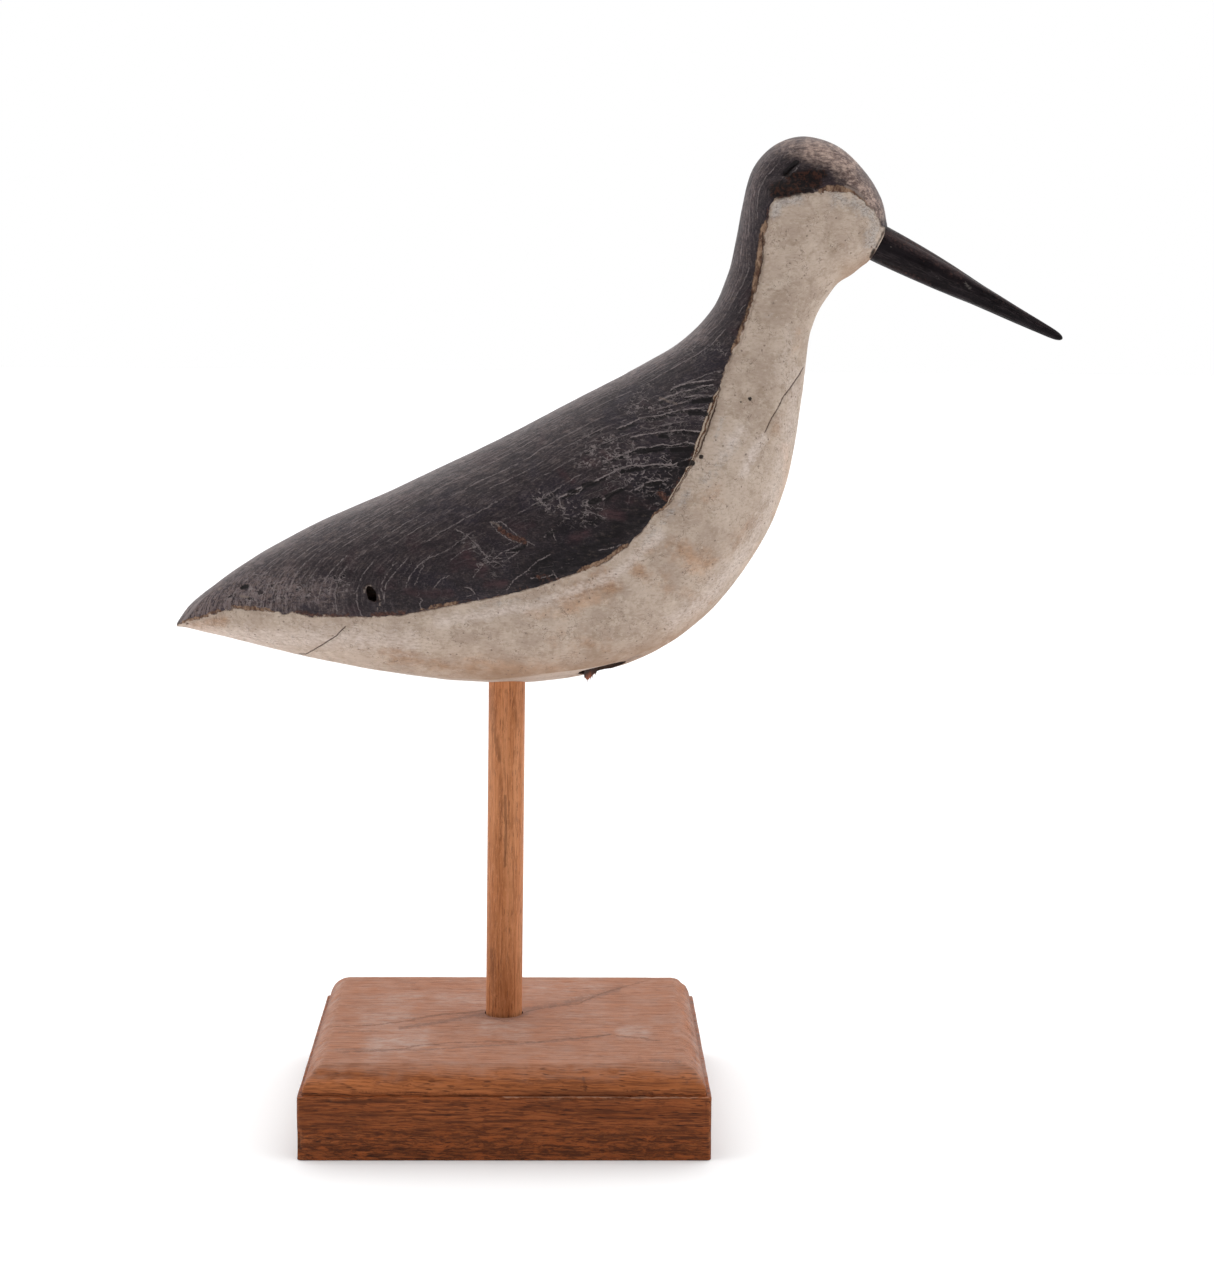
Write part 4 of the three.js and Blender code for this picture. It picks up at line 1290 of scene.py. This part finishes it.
# Bill: a whittled spike. The curve gives its radius as a share of the root's, along its length.
bill = {
    "length": 71.2,
    "rim": 0.4,
    "gap": 0.15,
    "sides": 96,
    "steps": 300,
    "unevenness": 0.5,
    "stretch": (0.35, 1.0, 0.6),
    "detail": 110.0,
    "flats": 0.34,  # depth of the knife's long flats, mm
    "radiusCurve": [
        (0, 1), (0.1, 0.968), (0.27, 0.865), (0.44, 0.698), (0.52, 0.611), (0.7, 0.46), (0.87, 0.318),
        (0.96, 0.225), (0.985, 0.155), (0.996, 0.08), (1, 0.0),
    ],
    "marks": {
        "chalk": [
            ([(965, 283), (970, 288)], 4, 0.9), ([(891, 247)], 2.4, 1), ([(932, 272)], 2, 0.8),
            ([(900, 236), (905, 239)], 3, 0.5), ([(936, 276), (940, 279)], 2.2, 0.6),
        ],
        "brown": [
            ([(885, 232), (930, 254), (962, 274)], 12, 0.9), ([(960, 274), (1010, 302), (1050, 326)], 8, 0.6),
            ([(872, 240), (868, 256)], 8, 1.1), ([(880, 262), (930, 284)], 7, 0.5),
        ],
    },
}


def billPaint():
    material, made = newMaterial("billPaint", 0.06)
    rise, mix, noise, times = made.rise, made.mix, made.noise, made.times
    place = made.placeInMm()
    lean = math.degrees(faceFrame()[0].to_euler().y)
    along = made.stretch(made.stretch(place, (1, 1, 1), (0, 90 - lean, 0)), (0.12, 1, 1))
    streak = noise(along, 1.2, 4.0, 0.65)
    brown = made.frayed("brown", noise(place, 0.6, 5.0, 0.7), 1.4, 0.2, 0.9)
    # paler along the facets' ridges: worn paint, with painted sheen
    worn = times(rise(made.field("ridge"), 0.45, 0.95), rise(noise(along, 2.2, 3.0, 0.7), 0.42, 0.65))
    colour = made.layer(
        mix(rise(noise(place, 0.12, 3.0, 0.6), 0.35, 0.65), (19, 15, 17), (27, 22, 25)),
        (rise(streak, 0.4, 0.7), 0.4, (14, 11, 12)),
        (brown, 0.8, mix(rise(streak, 0.36, 0.66), (44, 32, 33), (68, 53, 53))),
        (brown, rise(noise(place, 1.2, 5.0, 0.75), 0.54, 0.64), 0.6, (94, 66, 56)),
        (worn, 0.26, (78, 68, 70)),
        (made.frayed("chalk", noise(place, 2.0, 3.0), 1.6, 0.5, 0.9), 0.45, (110, 104, 100)),
        (made.specks(place, 2.6, 0.14, 0.3), 0.4, (96, 88, 84)))
    height = made.plus(times(streak, 0.12), times(noise(place, 0.5, 3.0), 0.2))
    return finishMaterial(material, made, colour, rise(streak, 0.3, 0.75, 0.34, 0.5), height)


def makeBill():
    face, height = faceFrame()
    radius = height / 2 - bill["rim"]
    root, tip = (face @ Vector((0, 0, bill[key])) for key in ("gap", "length"))
    piece = sweep("whittledBill", bill, root, tip, radius, billPaint())
    # long flats from the knife: the section is a soft polygon that turns slowly towards the tip
    points, normals = pointsOf(piece), normalsOf(piece)
    inward = np.array(face.inverted().to_3x3())
    local = (points - np.array(face.translation)) @ inward.T
    angle = np.arctan2(local[:, 1], local[:, 0]) + 0.012 * local[:, 2]
    thick = np.hypot(local[:, 0], local[:, 1]) / radius
    ridge = np.abs(np.cos(3.5 * angle + 0.5)) ** 0.8
    flats = bill["flats"] * (ridge - 0.75) * np.clip(thick, 0, 1) * ease(local[:, 2], 0.3, 7)
    movePoints(piece, points + normals * flats[:, None])
    addField(piece, "ridge", ridge)
    places = photoPlace(pointsOf(piece))
    near = ease(birdSeat[1] - points[:, 1], -3, 1)
    for name, marks in bill["marks"].items():
        addField(piece, name, strokes(places, marks) * near)
    smoothShade(piece, 60)
    finishPiece(piece, "bill", "bill_paint")


makeBill()

# Stub of the old stake: broken off inside its hole, with torn fibres and one splinter hanging out
stub = {
    "rings": 46,
    "sides": 132,
    "recess": 4.9,
    "rise": 0.26,  # how the broken face climbs with the belly, per millimetre forward
    "tear": 0.6,
    "splinter": {
        "from": -6.2, "to": -1.4, "tip": -4.9, "low": -2.9, "behind": 1.2, "ahead": 0.8, "inner": 0.86,
    },
    "fibreLength": (0.5, 1.7),
    "fibreWidth": 0.16,
    "fibresPerMm2": 0.8,
    "fibreSeed": 4,
}


def stakeWood():
    material, made = newMaterial("stakeWood")
    wood = made.wood(made.stretch(made.placeInMm(), (1, 1, 1), (0, 90, 0)), 1.4, 1.6, 0.4, 0.6)
    colour = made.layer(
        made.mix(wood["Tone"], (122, 66, 46), (168, 100, 72)),
        (made.rise(wood["Fibre"], 0.65, 0.3), (88, 46, 32)),
        (wood["Pores"], 0.6, (50, 28, 20)),
        # painted shade: dark brown where the stub lies up inside the hole
        (made.rise(made.field("deep"), 0.0, 1.0), 0.92, (34, 20, 14)))
    roughness = made.rise(wood["Fibre"], 0.2, 0.8, 0.65, 0.9)
    return finishMaterial(material, made, colour, roughness, made.times(wood["Fibre"], 0.35))


def addFibres(piece, finish):
    inputs = {
        "Fibres": ("number", stub["fibresPerMm2"] / metresPerMm**2),
        "Width": ("number", stub["fibreWidth"] * metresPerMm),
        "Shortest": ("number", stub["fibreLength"][0]),
        "Longest": ("number", stub["fibreLength"][1]),
        "Seed": ("count", stub["fibreSeed"]),
        "Finish": ("finish", finish),
    }
    made, given = newShape("tornFibres", inputs)
    facing = made.node("GeometryNodeInputNormal").outputs[0]
    down = made.maths("LESS_THAN", made.parts(facing)["Z"], -0.15)
    points = made.node("GeometryNodeDistributePointsOnFaces", {
        "Mesh": given["Geometry"], "Selection": down, "Density": given["Fibres"], "Seed": given["Seed"]})
    fibre = made.node("GeometryNodeMeshCone", {
        "Vertices": 5, "Side Segments": 2, "Radius Top": 0.0, "Radius Bottom": given["Width"],
        "Depth": metresPerMm})
    length = made.node("FunctionNodeRandomValue", {
        2: given["Shortest"], 3: given["Longest"], "Seed": given["Seed"]}, data_type="FLOAT").outputs[1]
    lean = made.node("FunctionNodeRandomValue", {
        0: (math.pi - 0.3, -0.3, 0), 1: (math.pi + 0.3, 0.3, 6.3), "Seed": given["Seed"]},
        data_type="FLOAT_VECTOR").outputs[0]
    fibres = made.node("GeometryNodeInstanceOnPoints", {
        "Points": points.outputs[0], "Instance": fibre.outputs[0],
        "Rotation": made.node("FunctionNodeEulerToRotation", {0: lean}).outputs[0],
        "Scale": made.combine(1.0, 1.0, length)})
    joined = made.node("GeometryNodeJoinGeometry")
    for part in (given["Geometry"], fibres.outputs[0]):
        made.tree.links.new(part, joined.inputs[0])
    shapeWith(piece, made, given, joined.outputs[0], inputs)


def makeStub():
    radius = bird["stakeHole"]["diameter"] / 2 - stand["fit"]
    depth = bird["stakeHole"]["depth"] - stand["fit"]
    shares = np.concatenate([[0.02], np.linspace(0.05, 1, stub["rings"])])
    angles = np.linspace(0, 2 * np.pi, stub["sides"], endpoint=False)
    x = np.outer(shares, np.cos(angles)) * radius
    y = np.outer(shares, np.sin(angles)) * radius
    flat = np.stack([x.ravel(), y.ravel(), np.zeros(x.size)], -1)
    torn = 0.6 * softNoise(flat, 2.6, 41) + 0.45 * np.abs(softNoise(flat, 0.9, 42))
    torn += 0.3 * softNoise(flat, 0.5, 43)
    flat[:, 2] = stub["recess"] + stub["rise"] * flat[:, 0] + stub["tear"] * torn

    spike = stub["splinter"]
    soft = 0.2
    ahead = flat[:, 0] - spike["tip"]
    end = spike["low"] + np.where(ahead < 0, -spike["behind"], spike["ahead"]) * ahead + 0.25 * torn
    share = ease(flat[:, 0], spike["from"] - soft, spike["from"] + soft)
    share *= ease(-flat[:, 0], -spike["to"] - soft, -spike["to"] + soft)
    outer = np.hypot(flat[:, 0], flat[:, 1]) / radius
    share *= ease(outer, spike["inner"] - 0.05, spike["inner"] + 0.03) * (flat[:, 1] > 0)
    flat[:, 2] += (end - flat[:, 2]) * share

    rings = [flat]
    rim = flat[-stub["sides"]:]
    for climbed in (0.3, 0.7, 1.0):
        ring = rim.copy()
        ring[:, 2] = rim[:, 2] + (depth - rim[:, 2]) * climbed
        rings.append(ring)
    points = np.concatenate(rings)
    faces = ringFaces(len(points) // stub["sides"], stub["sides"])
    faces += [list(range(stub["sides"])), list(range(len(points) - stub["sides"], len(points)))]
    piece = makePiece("oldStakeStub", points + np.array(stakeMouth), faces)
    addFibres(piece, stakeWood())
    smoothShade(piece, 35)
    local = pointsOf(piece) - np.array(stakeMouth)
    # painted shade inside the hole: one above the belly's line, nought below
    addField(piece, "deep", ease(local[:, 2] - stub["rise"] * local[:, 0], -0.5, 0.5))
    finishPiece(piece, "old_stake_stub", "stake_wood")


makeStub()

# Base: a block with a rounded moulding that rises from a narrow ledge
base = {
    "length": 136.0,
    "depth": 120.0,
    "ledgeDrop": 9.4,
    "ledgeWidth": 1.4,
    "mouldingWidth": 7.4,
    "mouldingSweep": 75,
    "mouldingSteps": 22,
    "sideSteps": 17,
    "edgeRound": 0.45,
    "cornerRound": 1.1,
    "cellsLong": 140,
    "cellsDeep": 124,
    "edgeWear": 0.4,
    "edgeNicks": 0.22,
    "unevenness": 0.06,
    "topWear": 0.14,
    "marks": {
        "pale": [
            ([(368, 1020), (405, 1016)], 22, 1), ([(375, 1046), (420, 1038)], 24, 1.1),
            ([(385, 1000), (420, 996)], 18, 0.7), ([(440, 1000), (482, 1000)], 22, 0.8),
            ([(485, 1026), (522, 1030)], 20, 1), ([(530, 990), (600, 985)], 24, 0.7),
            ([(622, 1032), (648, 1031)], 11, 1.2), ([(400, 1055), (440, 1052)], 12, 0.7),
            ([(560, 1015), (600, 1014)], 16, 0.5), ([(525, 1060), (620, 1056)], 8, 0.5),
            ([(338, 984), (314, 1064)], 16, 0.75), ([(671, 985), (679, 1056)], 10, 0.5),
            ([(640, 980), (665, 983)], 10, 0.5), ([(688, 996), (704, 1076)], 13, 0.85),
        ],
        # dark grain and marks, and painted shade round the rod's foot, under the ledge, in the chips and
        # along the bottom edge
        "soot": [
            ([(400, 1028), (440, 1022), (486, 1013)], 5, 0.8),
            ([(524, 1010), (560, 1004), (618, 990)], 9, 0.75),
            ([(335, 1049), (420, 1050), (500, 1045), (560, 1041), (612, 1034)], 2.4, 0.8),
            ([(338, 1032), (378, 1031)], 2.2, 0.7), ([(540, 1042), (590, 1040)], 2.2, 0.6),
            ([(480, 1014), (505, 1021), (527, 1014)], 5, 0.7), ([(650, 1060), (680, 1062)], 5, 0.7),
            ([(556, 1078), (562, 1086)], 5, 0.6), ([(583, 1078), (586, 1090)], 4, 0.8),
            ([(625, 1090), (652, 1093)], 4, 0.8), ([(549, 1110), (572, 1111)], 6, 0.7),
            ([(350, 1092), (480, 1094)], 3, 0.7), ([(296, 1137), (300, 1150)], 5, 1),
            ([(619, 1150), (675, 1148)], 9, 0.6), ([(350, 1124), (440, 1118), (520, 1119)], 5, 0.5),
            ([(706, 1100), (708, 1150)], 4, 0.6), ([(310, 1157), (700, 1157)], 4, 0.25),
        ],
        "ledgeDust": [
            ([(505, 1096), (625, 1096), (632, 1098), (655, 1098), (708, 1100)], 4.5, 1.0),
            ([(300, 1094), (360, 1095)], 3.5, 0.3),
        ],
    },
    "grainLines": [
        [(344, 1052), (385, 1051), (420, 1046), (455, 1042), (485, 1042), (539, 1042), (578, 1038),
         (612, 1035), (655, 1040)],
        [(336, 1027), (385, 1024), (420, 1018), (451, 1013), (485, 1011)],
        [(520, 1014), (539, 1008), (578, 1004), (605, 992), (642, 982)],
    ],
    "chips": [  # photograph places, half width in pixels, depth in millimetres
        ([(295, 1135), (298, 1152), (304, 1159)], 9, 0.9), ([(584, 1087)], 4, 0.4), ([(560, 1083)], 4, 0.3),
        ([(300, 1098)], 5, 0.4), ([(629, 1095)], 5, 0.4), ([(652, 1096)], 4, 0.4), ([(708, 1158)], 6, 0.7),
        ([(420, 1095)], 30, 0.35), ([(360, 1093)], 24, 0.3),
    ],
}


ledgeHeight = stand["baseHeight"] - base["ledgeDrop"]


def baseWood():
    material, made = newMaterial("baseWood", 0.16)
    rise, mix, noise, times, plus = made.rise, made.mix, made.noise, made.times, made.plus
    stretch, warped, frayed, hairs, layer = made.stretch, made.warped, made.frayed, made.hairs, made.layer
    place = made.placeInMm()
    grained = warped(stretch(place, (1, 1, 1), (0, -1.5, 1.5)), 16.0, 1.6)
    wood = made.wood(grained, 3.6, 3.6, 0.42, 3.0)
    high = made.parts(place)["Z"]
    facing = made.parts(made.node("ShaderNodeNewGeometry").outputs["Normal"])
    moulding = rise(high, ledgeHeight - 0.5, ledgeHeight + 2.5)
    darkLine = mix(moulding, (64, 31, 16), (98, 54, 31))
    dashes = noise(stretch(grained, (0.045, 1, 1)), 2.3, 4.0, 0.68)
    contours = made.most(hairs(stretch(grained, (0.035, 1, 1)), 0.42, 0.03),
                         times(hairs(stretch(grained, (0.06, 1, 1)), 0.8, 0.04), 0.8))
    contourShare = rise(noise(stretch(place, (0.1, 1, 1)), 0.3, 3.0, 0.6), 0.36, 0.52)
    streak = rise(noise(stretch(place, (0.03, 1, 1), (0, 1.5, 0)), 0.5, 3.0, 0.6), 0.54, 0.66)
    # the lower part of the block has wilder, darker grain in short slanting dashes
    slanted = stretch(warped(place, 6.0, 3.4), (0.16, 1, 1), (0, 11, 0))
    lower = rise(high, 17.0, 6.0)
    wild = times(lower, made.most(rise(noise(slanted, 1.15, 4.0, 0.7), 0.54, 0.59),
                                  hairs(slanted, 0.5, 0.05)))
    colour = layer(
        mix(moulding, mix(wood["Tone"], (130, 68, 33), (156, 86, 46)),
            mix(wood["Tone"], (158, 91, 51), (182, 110, 66))),
        (rise(wood["Fibre"], 0.5, 0.36), 0.45, darkLine),
        (rise(dashes, 0.53, 0.62), rise(moulding, 0.0, 1.0, 0.72, 0.55), darkLine),
        (rise(dashes, 0.46, 0.36), 0.35, (178, 108, 62)),
        (contours, contourShare, 0.62, darkLine),
        (wild, 0.5, (62, 31, 17)),
        (lower, rise(noise(slanted, 0.6, 4.0, 0.7), 0.5, 0.36), 0.6, (170, 90, 44)),
        (streak, 0.45, darkLine),
        (wood["Pores"], 0.7, (48, 24, 14)),
        (rise(made.maths("ABSOLUTE", facing["X"]), 0.6, 0.9), 0.4, (86, 50, 33)))

    # dust: a thin even film on top, thicker in patches
    aboveLedge = rise(high, ledgeHeight + 1.5, ledgeHeight + 4.5)
    patchy = rise(noise(place, 0.08, 3.0, 0.6), 0.1, 0.7, 0.55, 0.82)
    film = times(rise(facing["Z"], 0.55, 0.98), aboveLedge, patchy)
    ragged = noise(stretch(warped(place, 9.0, 6.0), (0.6, 1, 1)), 0.17, 6.0, 0.7)
    streaked = noise(stretch(place, (0.45, 1, 1), (0, 0, -14)), 0.42, 5.0, 0.72)
    pale = times(frayed("pale", ragged, 2.0, 0.1, 1.4), rise(facing["Z"], 0.2, 0.7),
                 rise(streaked, 0.3, 0.62, 0.35, 1.0))
    dust = made.group("dust", {"Place": place, "Amount": 0.22, "Patch Size": 9.0})[0]
    drift = times(dust, aboveLedge, 0.4)
    # dark marks and painted shade
    soot = frayed("soot", noise(place, 0.9, 4.0, 0.7), 1.2, 0.3, 0.9)
    grainGap = plus(made.field("grainLines"), times(plus(ragged, -0.5), 2.4))
    grainLine = times(made.within(grainGap, 0.34, 0.1), rise(made.field("grainPast"), 4.0, 0.0),
                      rise(noise(place, 0.4, 4.0, 0.7), 0.34, 0.5))
    onLedge = times(rise(facing["Z"], 0.4, 0.9), rise(high, ledgeHeight + 0.45, ledgeHeight + 0.1),
                    rise(high, ledgeHeight - 0.6, ledgeHeight - 0.2))
    rubbed = times(frayed("ledgeDust", noise(place, 0.7, 3.0), 1.3, 0.35, 0.8), onLedge)
    edge = times(made.field("edge"), rise(noise(place, 0.35, 4.0, 0.65), 0.42, 0.62))
    crumbs = times(made.specks(place, 1.5, 0.22, 0.28), rise(facing["Z"], 0.8, 0.98), plus(soot, 0.1), 0.6)
    colour = layer(
        colour,
        (film, mix(rise(wood["Fibre"], 0.4, 0.6), (156, 107, 84, 0.74), (186, 137, 113, 0.74))),
        (made.most(pale, drift), 0.74, (192, 169, 158, 0.8)),
        # darker on upright faces than on the top
        (soot, 0.62, mix(rise(facing["Z"], 0.3, 0.9), (54, 28, 18), (110, 84, 74))),
        (grainLine, 0.5, (98, 66, 52)),
        (rubbed, 0.55, (176, 136, 112)),
        (edge, 0.35, (164, 108, 74)),
        (crumbs, (206, 188, 174, 0.85)))

    height = plus(times(wood["Fibre"], 0.16), times(pale, 0.05), times(crumbs, 0.05))
    hollow = plus(times(wood["Pores"], 0.16), times(wild, 0.1))
    roughness = made.maths("ADD", rise(wood["Fibre"], 0.2, 0.8, 0.5, 0.66), times(film, 0.25), clamp=True)
    return finishMaterial(material, made, colour, roughness, made.minus(height, hollow))


def baseProfile():
    # from the foot up to the flat top, each as an inset from the block's side and a height
    small, width = base["edgeRound"], base["mouldingWidth"]
    quarter = np.linspace(0, math.pi / 2, 4)
    points = [(small * (1 - math.sin(turn)), small * (1 - math.cos(turn))) for turn in quarter]
    sideHeights = np.linspace(small, ledgeHeight - small, base["sideSteps"] + 1)[1:-1]
    points += [(0.0, height) for height in sideHeights]
    points += [(small * (1 - math.cos(turn)), ledgeHeight - small * (1 - math.sin(turn))) for turn in quarter]
    points += [((small + base["ledgeWidth"]) / 2, ledgeHeight)]
    chord = math.hypot(width, base["ledgeDrop"])
    tilt = math.atan2(base["ledgeDrop"], width)
    halfSweep = math.radians(base["mouldingSweep"]) / 2
    radius = chord / 2 / math.sin(halfSweep)
    for along in np.linspace(halfSweep, -halfSweep, base["mouldingSteps"] + 1):
        reach = chord / 2 + radius * math.sin(along)
        bulge = radius * (math.cos(along) - math.cos(halfSweep))
        out = reach * math.cos(tilt) + bulge * math.sin(tilt)
        down = reach * math.sin(tilt) - bulge * math.cos(tilt)
        points.append((base["ledgeWidth"] + width - out, stand["baseHeight"] - down))
    return points


def boxLoop(x, y, height):
    long, deep = base["cellsLong"], base["cellsDeep"]
    across, away = np.linspace(-x, x, long + 1), np.linspace(-y, y, deep + 1)
    front = [(a, -y) for a in across[:-1]]
    right = [(x, b) for b in away[:-1]]
    backSide = [(a, y) for a in across[:0:-1]]
    left = [(-x, b) for b in away[:0:-1]]
    return [(a, b, height) for a, b in front + right + backSide + left]


def coverFaces(loopStart, gridStart):
    # faces of a flat cover whose rim is a loop and whose inside is a grid
    long, deep = base["cellsLong"], base["cellsDeep"]

    def corner(column, row):
        if row == 0:
            return loopStart + column
        if column == long:
            return loopStart + long + row
        if row == deep:
            return loopStart + long + deep + (long - column)
        if column == 0:
            return loopStart + 2 * long + deep + (deep - row)
        return gridStart + (row - 1) * (long - 1) + column - 1

    return [[corner(c, r), corner(c + 1, r), corner(c + 1, r + 1), corner(c, r + 1)]
            for r in range(deep) for c in range(long)]


def roundCorners(points):
    # the four upright corners, rounded in every layer of the block
    radius, cornerReach = base["cornerRound"], 14  # past that reach, the moulding and top stay as they are
    result = points.copy()
    for index, (x, y, height) in enumerate(points):
        fromCorner = max(base["length"] / 2 - abs(x), base["depth"] / 2 - abs(y))
        if height >= ledgeHeight and fromCorner > cornerReach:
            continue
        reachX, reachY = layerReach(height)
        fromX, fromY = abs(x) - (reachX - radius), abs(y) - (reachY - radius)
        if fromX > 0 and fromY > 0:
            scale = max(fromX, fromY) / math.hypot(fromX, fromY)
            result[index, 0] = math.copysign(reachX - radius + fromX * scale, x)
            result[index, 1] = math.copysign(reachY - radius + fromY * scale, y)
    return result


profile = baseProfile()


def layerReach(height):
    insets, heights = zip(*profile)
    inset = np.interp(height, heights, insets)
    return base["length"] / 2 - inset, base["depth"] / 2 - inset


def towardsViewer(normals):
    # one on what the photograph shows of the block, its front and top
    return ease(-normals[:, 1] + normals[:, 2], 0.1, 0.6)


def onEdges(normals):
    # one where the surface faces along none of the three axes
    straight = np.hypot(np.hypot(*(normals[:, :2] ** 2).T), normals[:, 2] ** 2)
    return ease(0.985 - straight, 0, 0.2)


def makeBase():
    halfLength, halfDepth = base["length"] / 2, base["depth"] / 2
    loops = [boxLoop(halfLength - inset, halfDepth - inset, height) for inset, height in profile]
    sides = len(loops[0])
    points = [place for loop in loops for place in loop]
    faces = ringFaces(len(loops), sides)
    for loopStart, loop in ((0, loops[0]), ((len(loops) - 1) * sides, loops[-1])):
        x, y, height = loop[base["cellsLong"] + base["cellsDeep"]]
        across = np.linspace(-x, x, base["cellsLong"] + 1)[1:-1]
        away = np.linspace(-y, y, base["cellsDeep"] + 1)[1:-1]
        faces += coverFaces(loopStart, len(points))
        points += [(a, b, height) for b in away for a in across]
    piece = makePiece("mouldedBase", roundCorners(np.array(points)), faces)

    points, normals = pointsOf(piece), normalsOf(piece)
    places = photoPlace(points)
    push = np.zeros(len(points))
    seen = towardsViewer(normals)
    for path, halfWidth, depth in base["chips"]:
        push -= seen * depth * ease(halfWidth - fromPath(places, path), 0, halfWidth)
    wornEdge = onEdges(normals)
    push -= wornEdge * base["edgeWear"] * ease(softNoise(points, (9, 9, 4), 51), 0.0, 0.9)
    push -= wornEdge * base["edgeNicks"] * ease(softNoise(points, (3, 3, 2), 52), 0.1, 0.9)
    push += base["unevenness"] * softNoise(points, (30, 9, 5), 53) - base["unevenness"]
    top = points[:, 2] > stand["baseHeight"] - 0.05
    push -= top * base["topWear"] * (1 + softNoise(points, (40, 18, 18), 54))
    flatFoot = ease(points[:, 2], 0.1, 1.5)
    movePoints(piece, points + normals * (push * flatFoot)[:, None])

    piece.data.materials.append(baseWood())
    radius = stand["rodDiameter"] / 2 + stand["fit"]
    aboveTop = 9  # the cutter ends clear of the block
    socket = roundCutter("baseSocket", rodTurn, (radius, radius), -stand["baseSocketDepth"], aboveTop)
    socket.data.materials.append(bpy.data.materials["holeWood"])
    cutFrom(piece, [socket])
    smoothShade(piece, 55)
    points, normals = pointsOf(piece), normalsOf(piece)
    places = photoPlace(points)
    seen = towardsViewer(normals)
    for name, marks in base["marks"].items():
        addField(piece, name, strokes(places, marks) * seen)
    beside, past = besidePaths(places, base["grainLines"])
    addField(piece, "grainLines", beside)
    addField(piece, "grainPast", past + offFar * (1 - seen))
    addField(piece, "edge", onEdges(normals) * ease(ledgeHeight + 0.1 - points[:, 2], 0, 0.6))
    finishPiece(piece, "base", "base_wood")


makeBase()

# Floor, sky and lights
studio = {
    "sky": 1.2,
    "overhead": 1.9,
    "viewerSide": 0.12,
    "floorColour": (0.97, 0.97, 0.975, 1.0),
    "floorHalf": 6.0,
    "floorRoughness": 0.9,
}


def makeStudio():
    half = studio["floorHalf"] / metresPerMm
    corners = [(-half, -half, 0), (half, -half, 0), (half, half, 0), (-half, half, 0)]
    floor = makePiece("paleFloor", corners, [[0, 1, 2, 3]])
    material, made = newMaterial("paleFloor")
    shader = made.tree.nodes["Principled BSDF"]
    shader.inputs["Base Color"].default_value = studio["floorColour"]
    shader.inputs["Roughness"].default_value = studio["floorRoughness"]
    seenFromBelow = made.node("ShaderNodeNewGeometry").outputs["Backfacing"]
    clear = made.node("ShaderNodeBsdfTransparent").outputs[0]
    choice = made.node("ShaderNodeMixShader", {0: seenFromBelow, 1: shader.outputs[0], 2: clear})
    made.tree.links.new(choice.outputs[0], made.tree.nodes["Material Output"].inputs["Surface"])
    floor.data.materials.append(material)
    floor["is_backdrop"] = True
    if floor.data.polygons[0].normal.z < 0:
        floor.data.flip_normals()

    world = bpy.data.worlds.new("studioSky")
    world.use_nodes = True
    scene.world = world
    made = tools(world.node_tree)
    part = made.parts(made.node("ShaderNodeTexCoord").outputs["Generated"])
    high = made.rise(part["Z"], 0.15, 0.9, studio["sky"], studio["overhead"])
    level = made.blend(made.rise(part["Y"], -0.1, -0.75), high, studio["viewerSide"])
    strength = made.blend(made.node("ShaderNodeLightPath").outputs["Is Camera Ray"], level, 1.0)
    sky = made.tree.nodes["Background"]
    made.tree.links.new(strength, sky.inputs["Strength"])
    sky.inputs["Color"].default_value = (1, 1, 1, 1)
    scene.view_settings.view_transform = "Standard"


makeStudio()
print("floor and light ready")

boxes = {"cad": cadBox, "visual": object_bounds()}
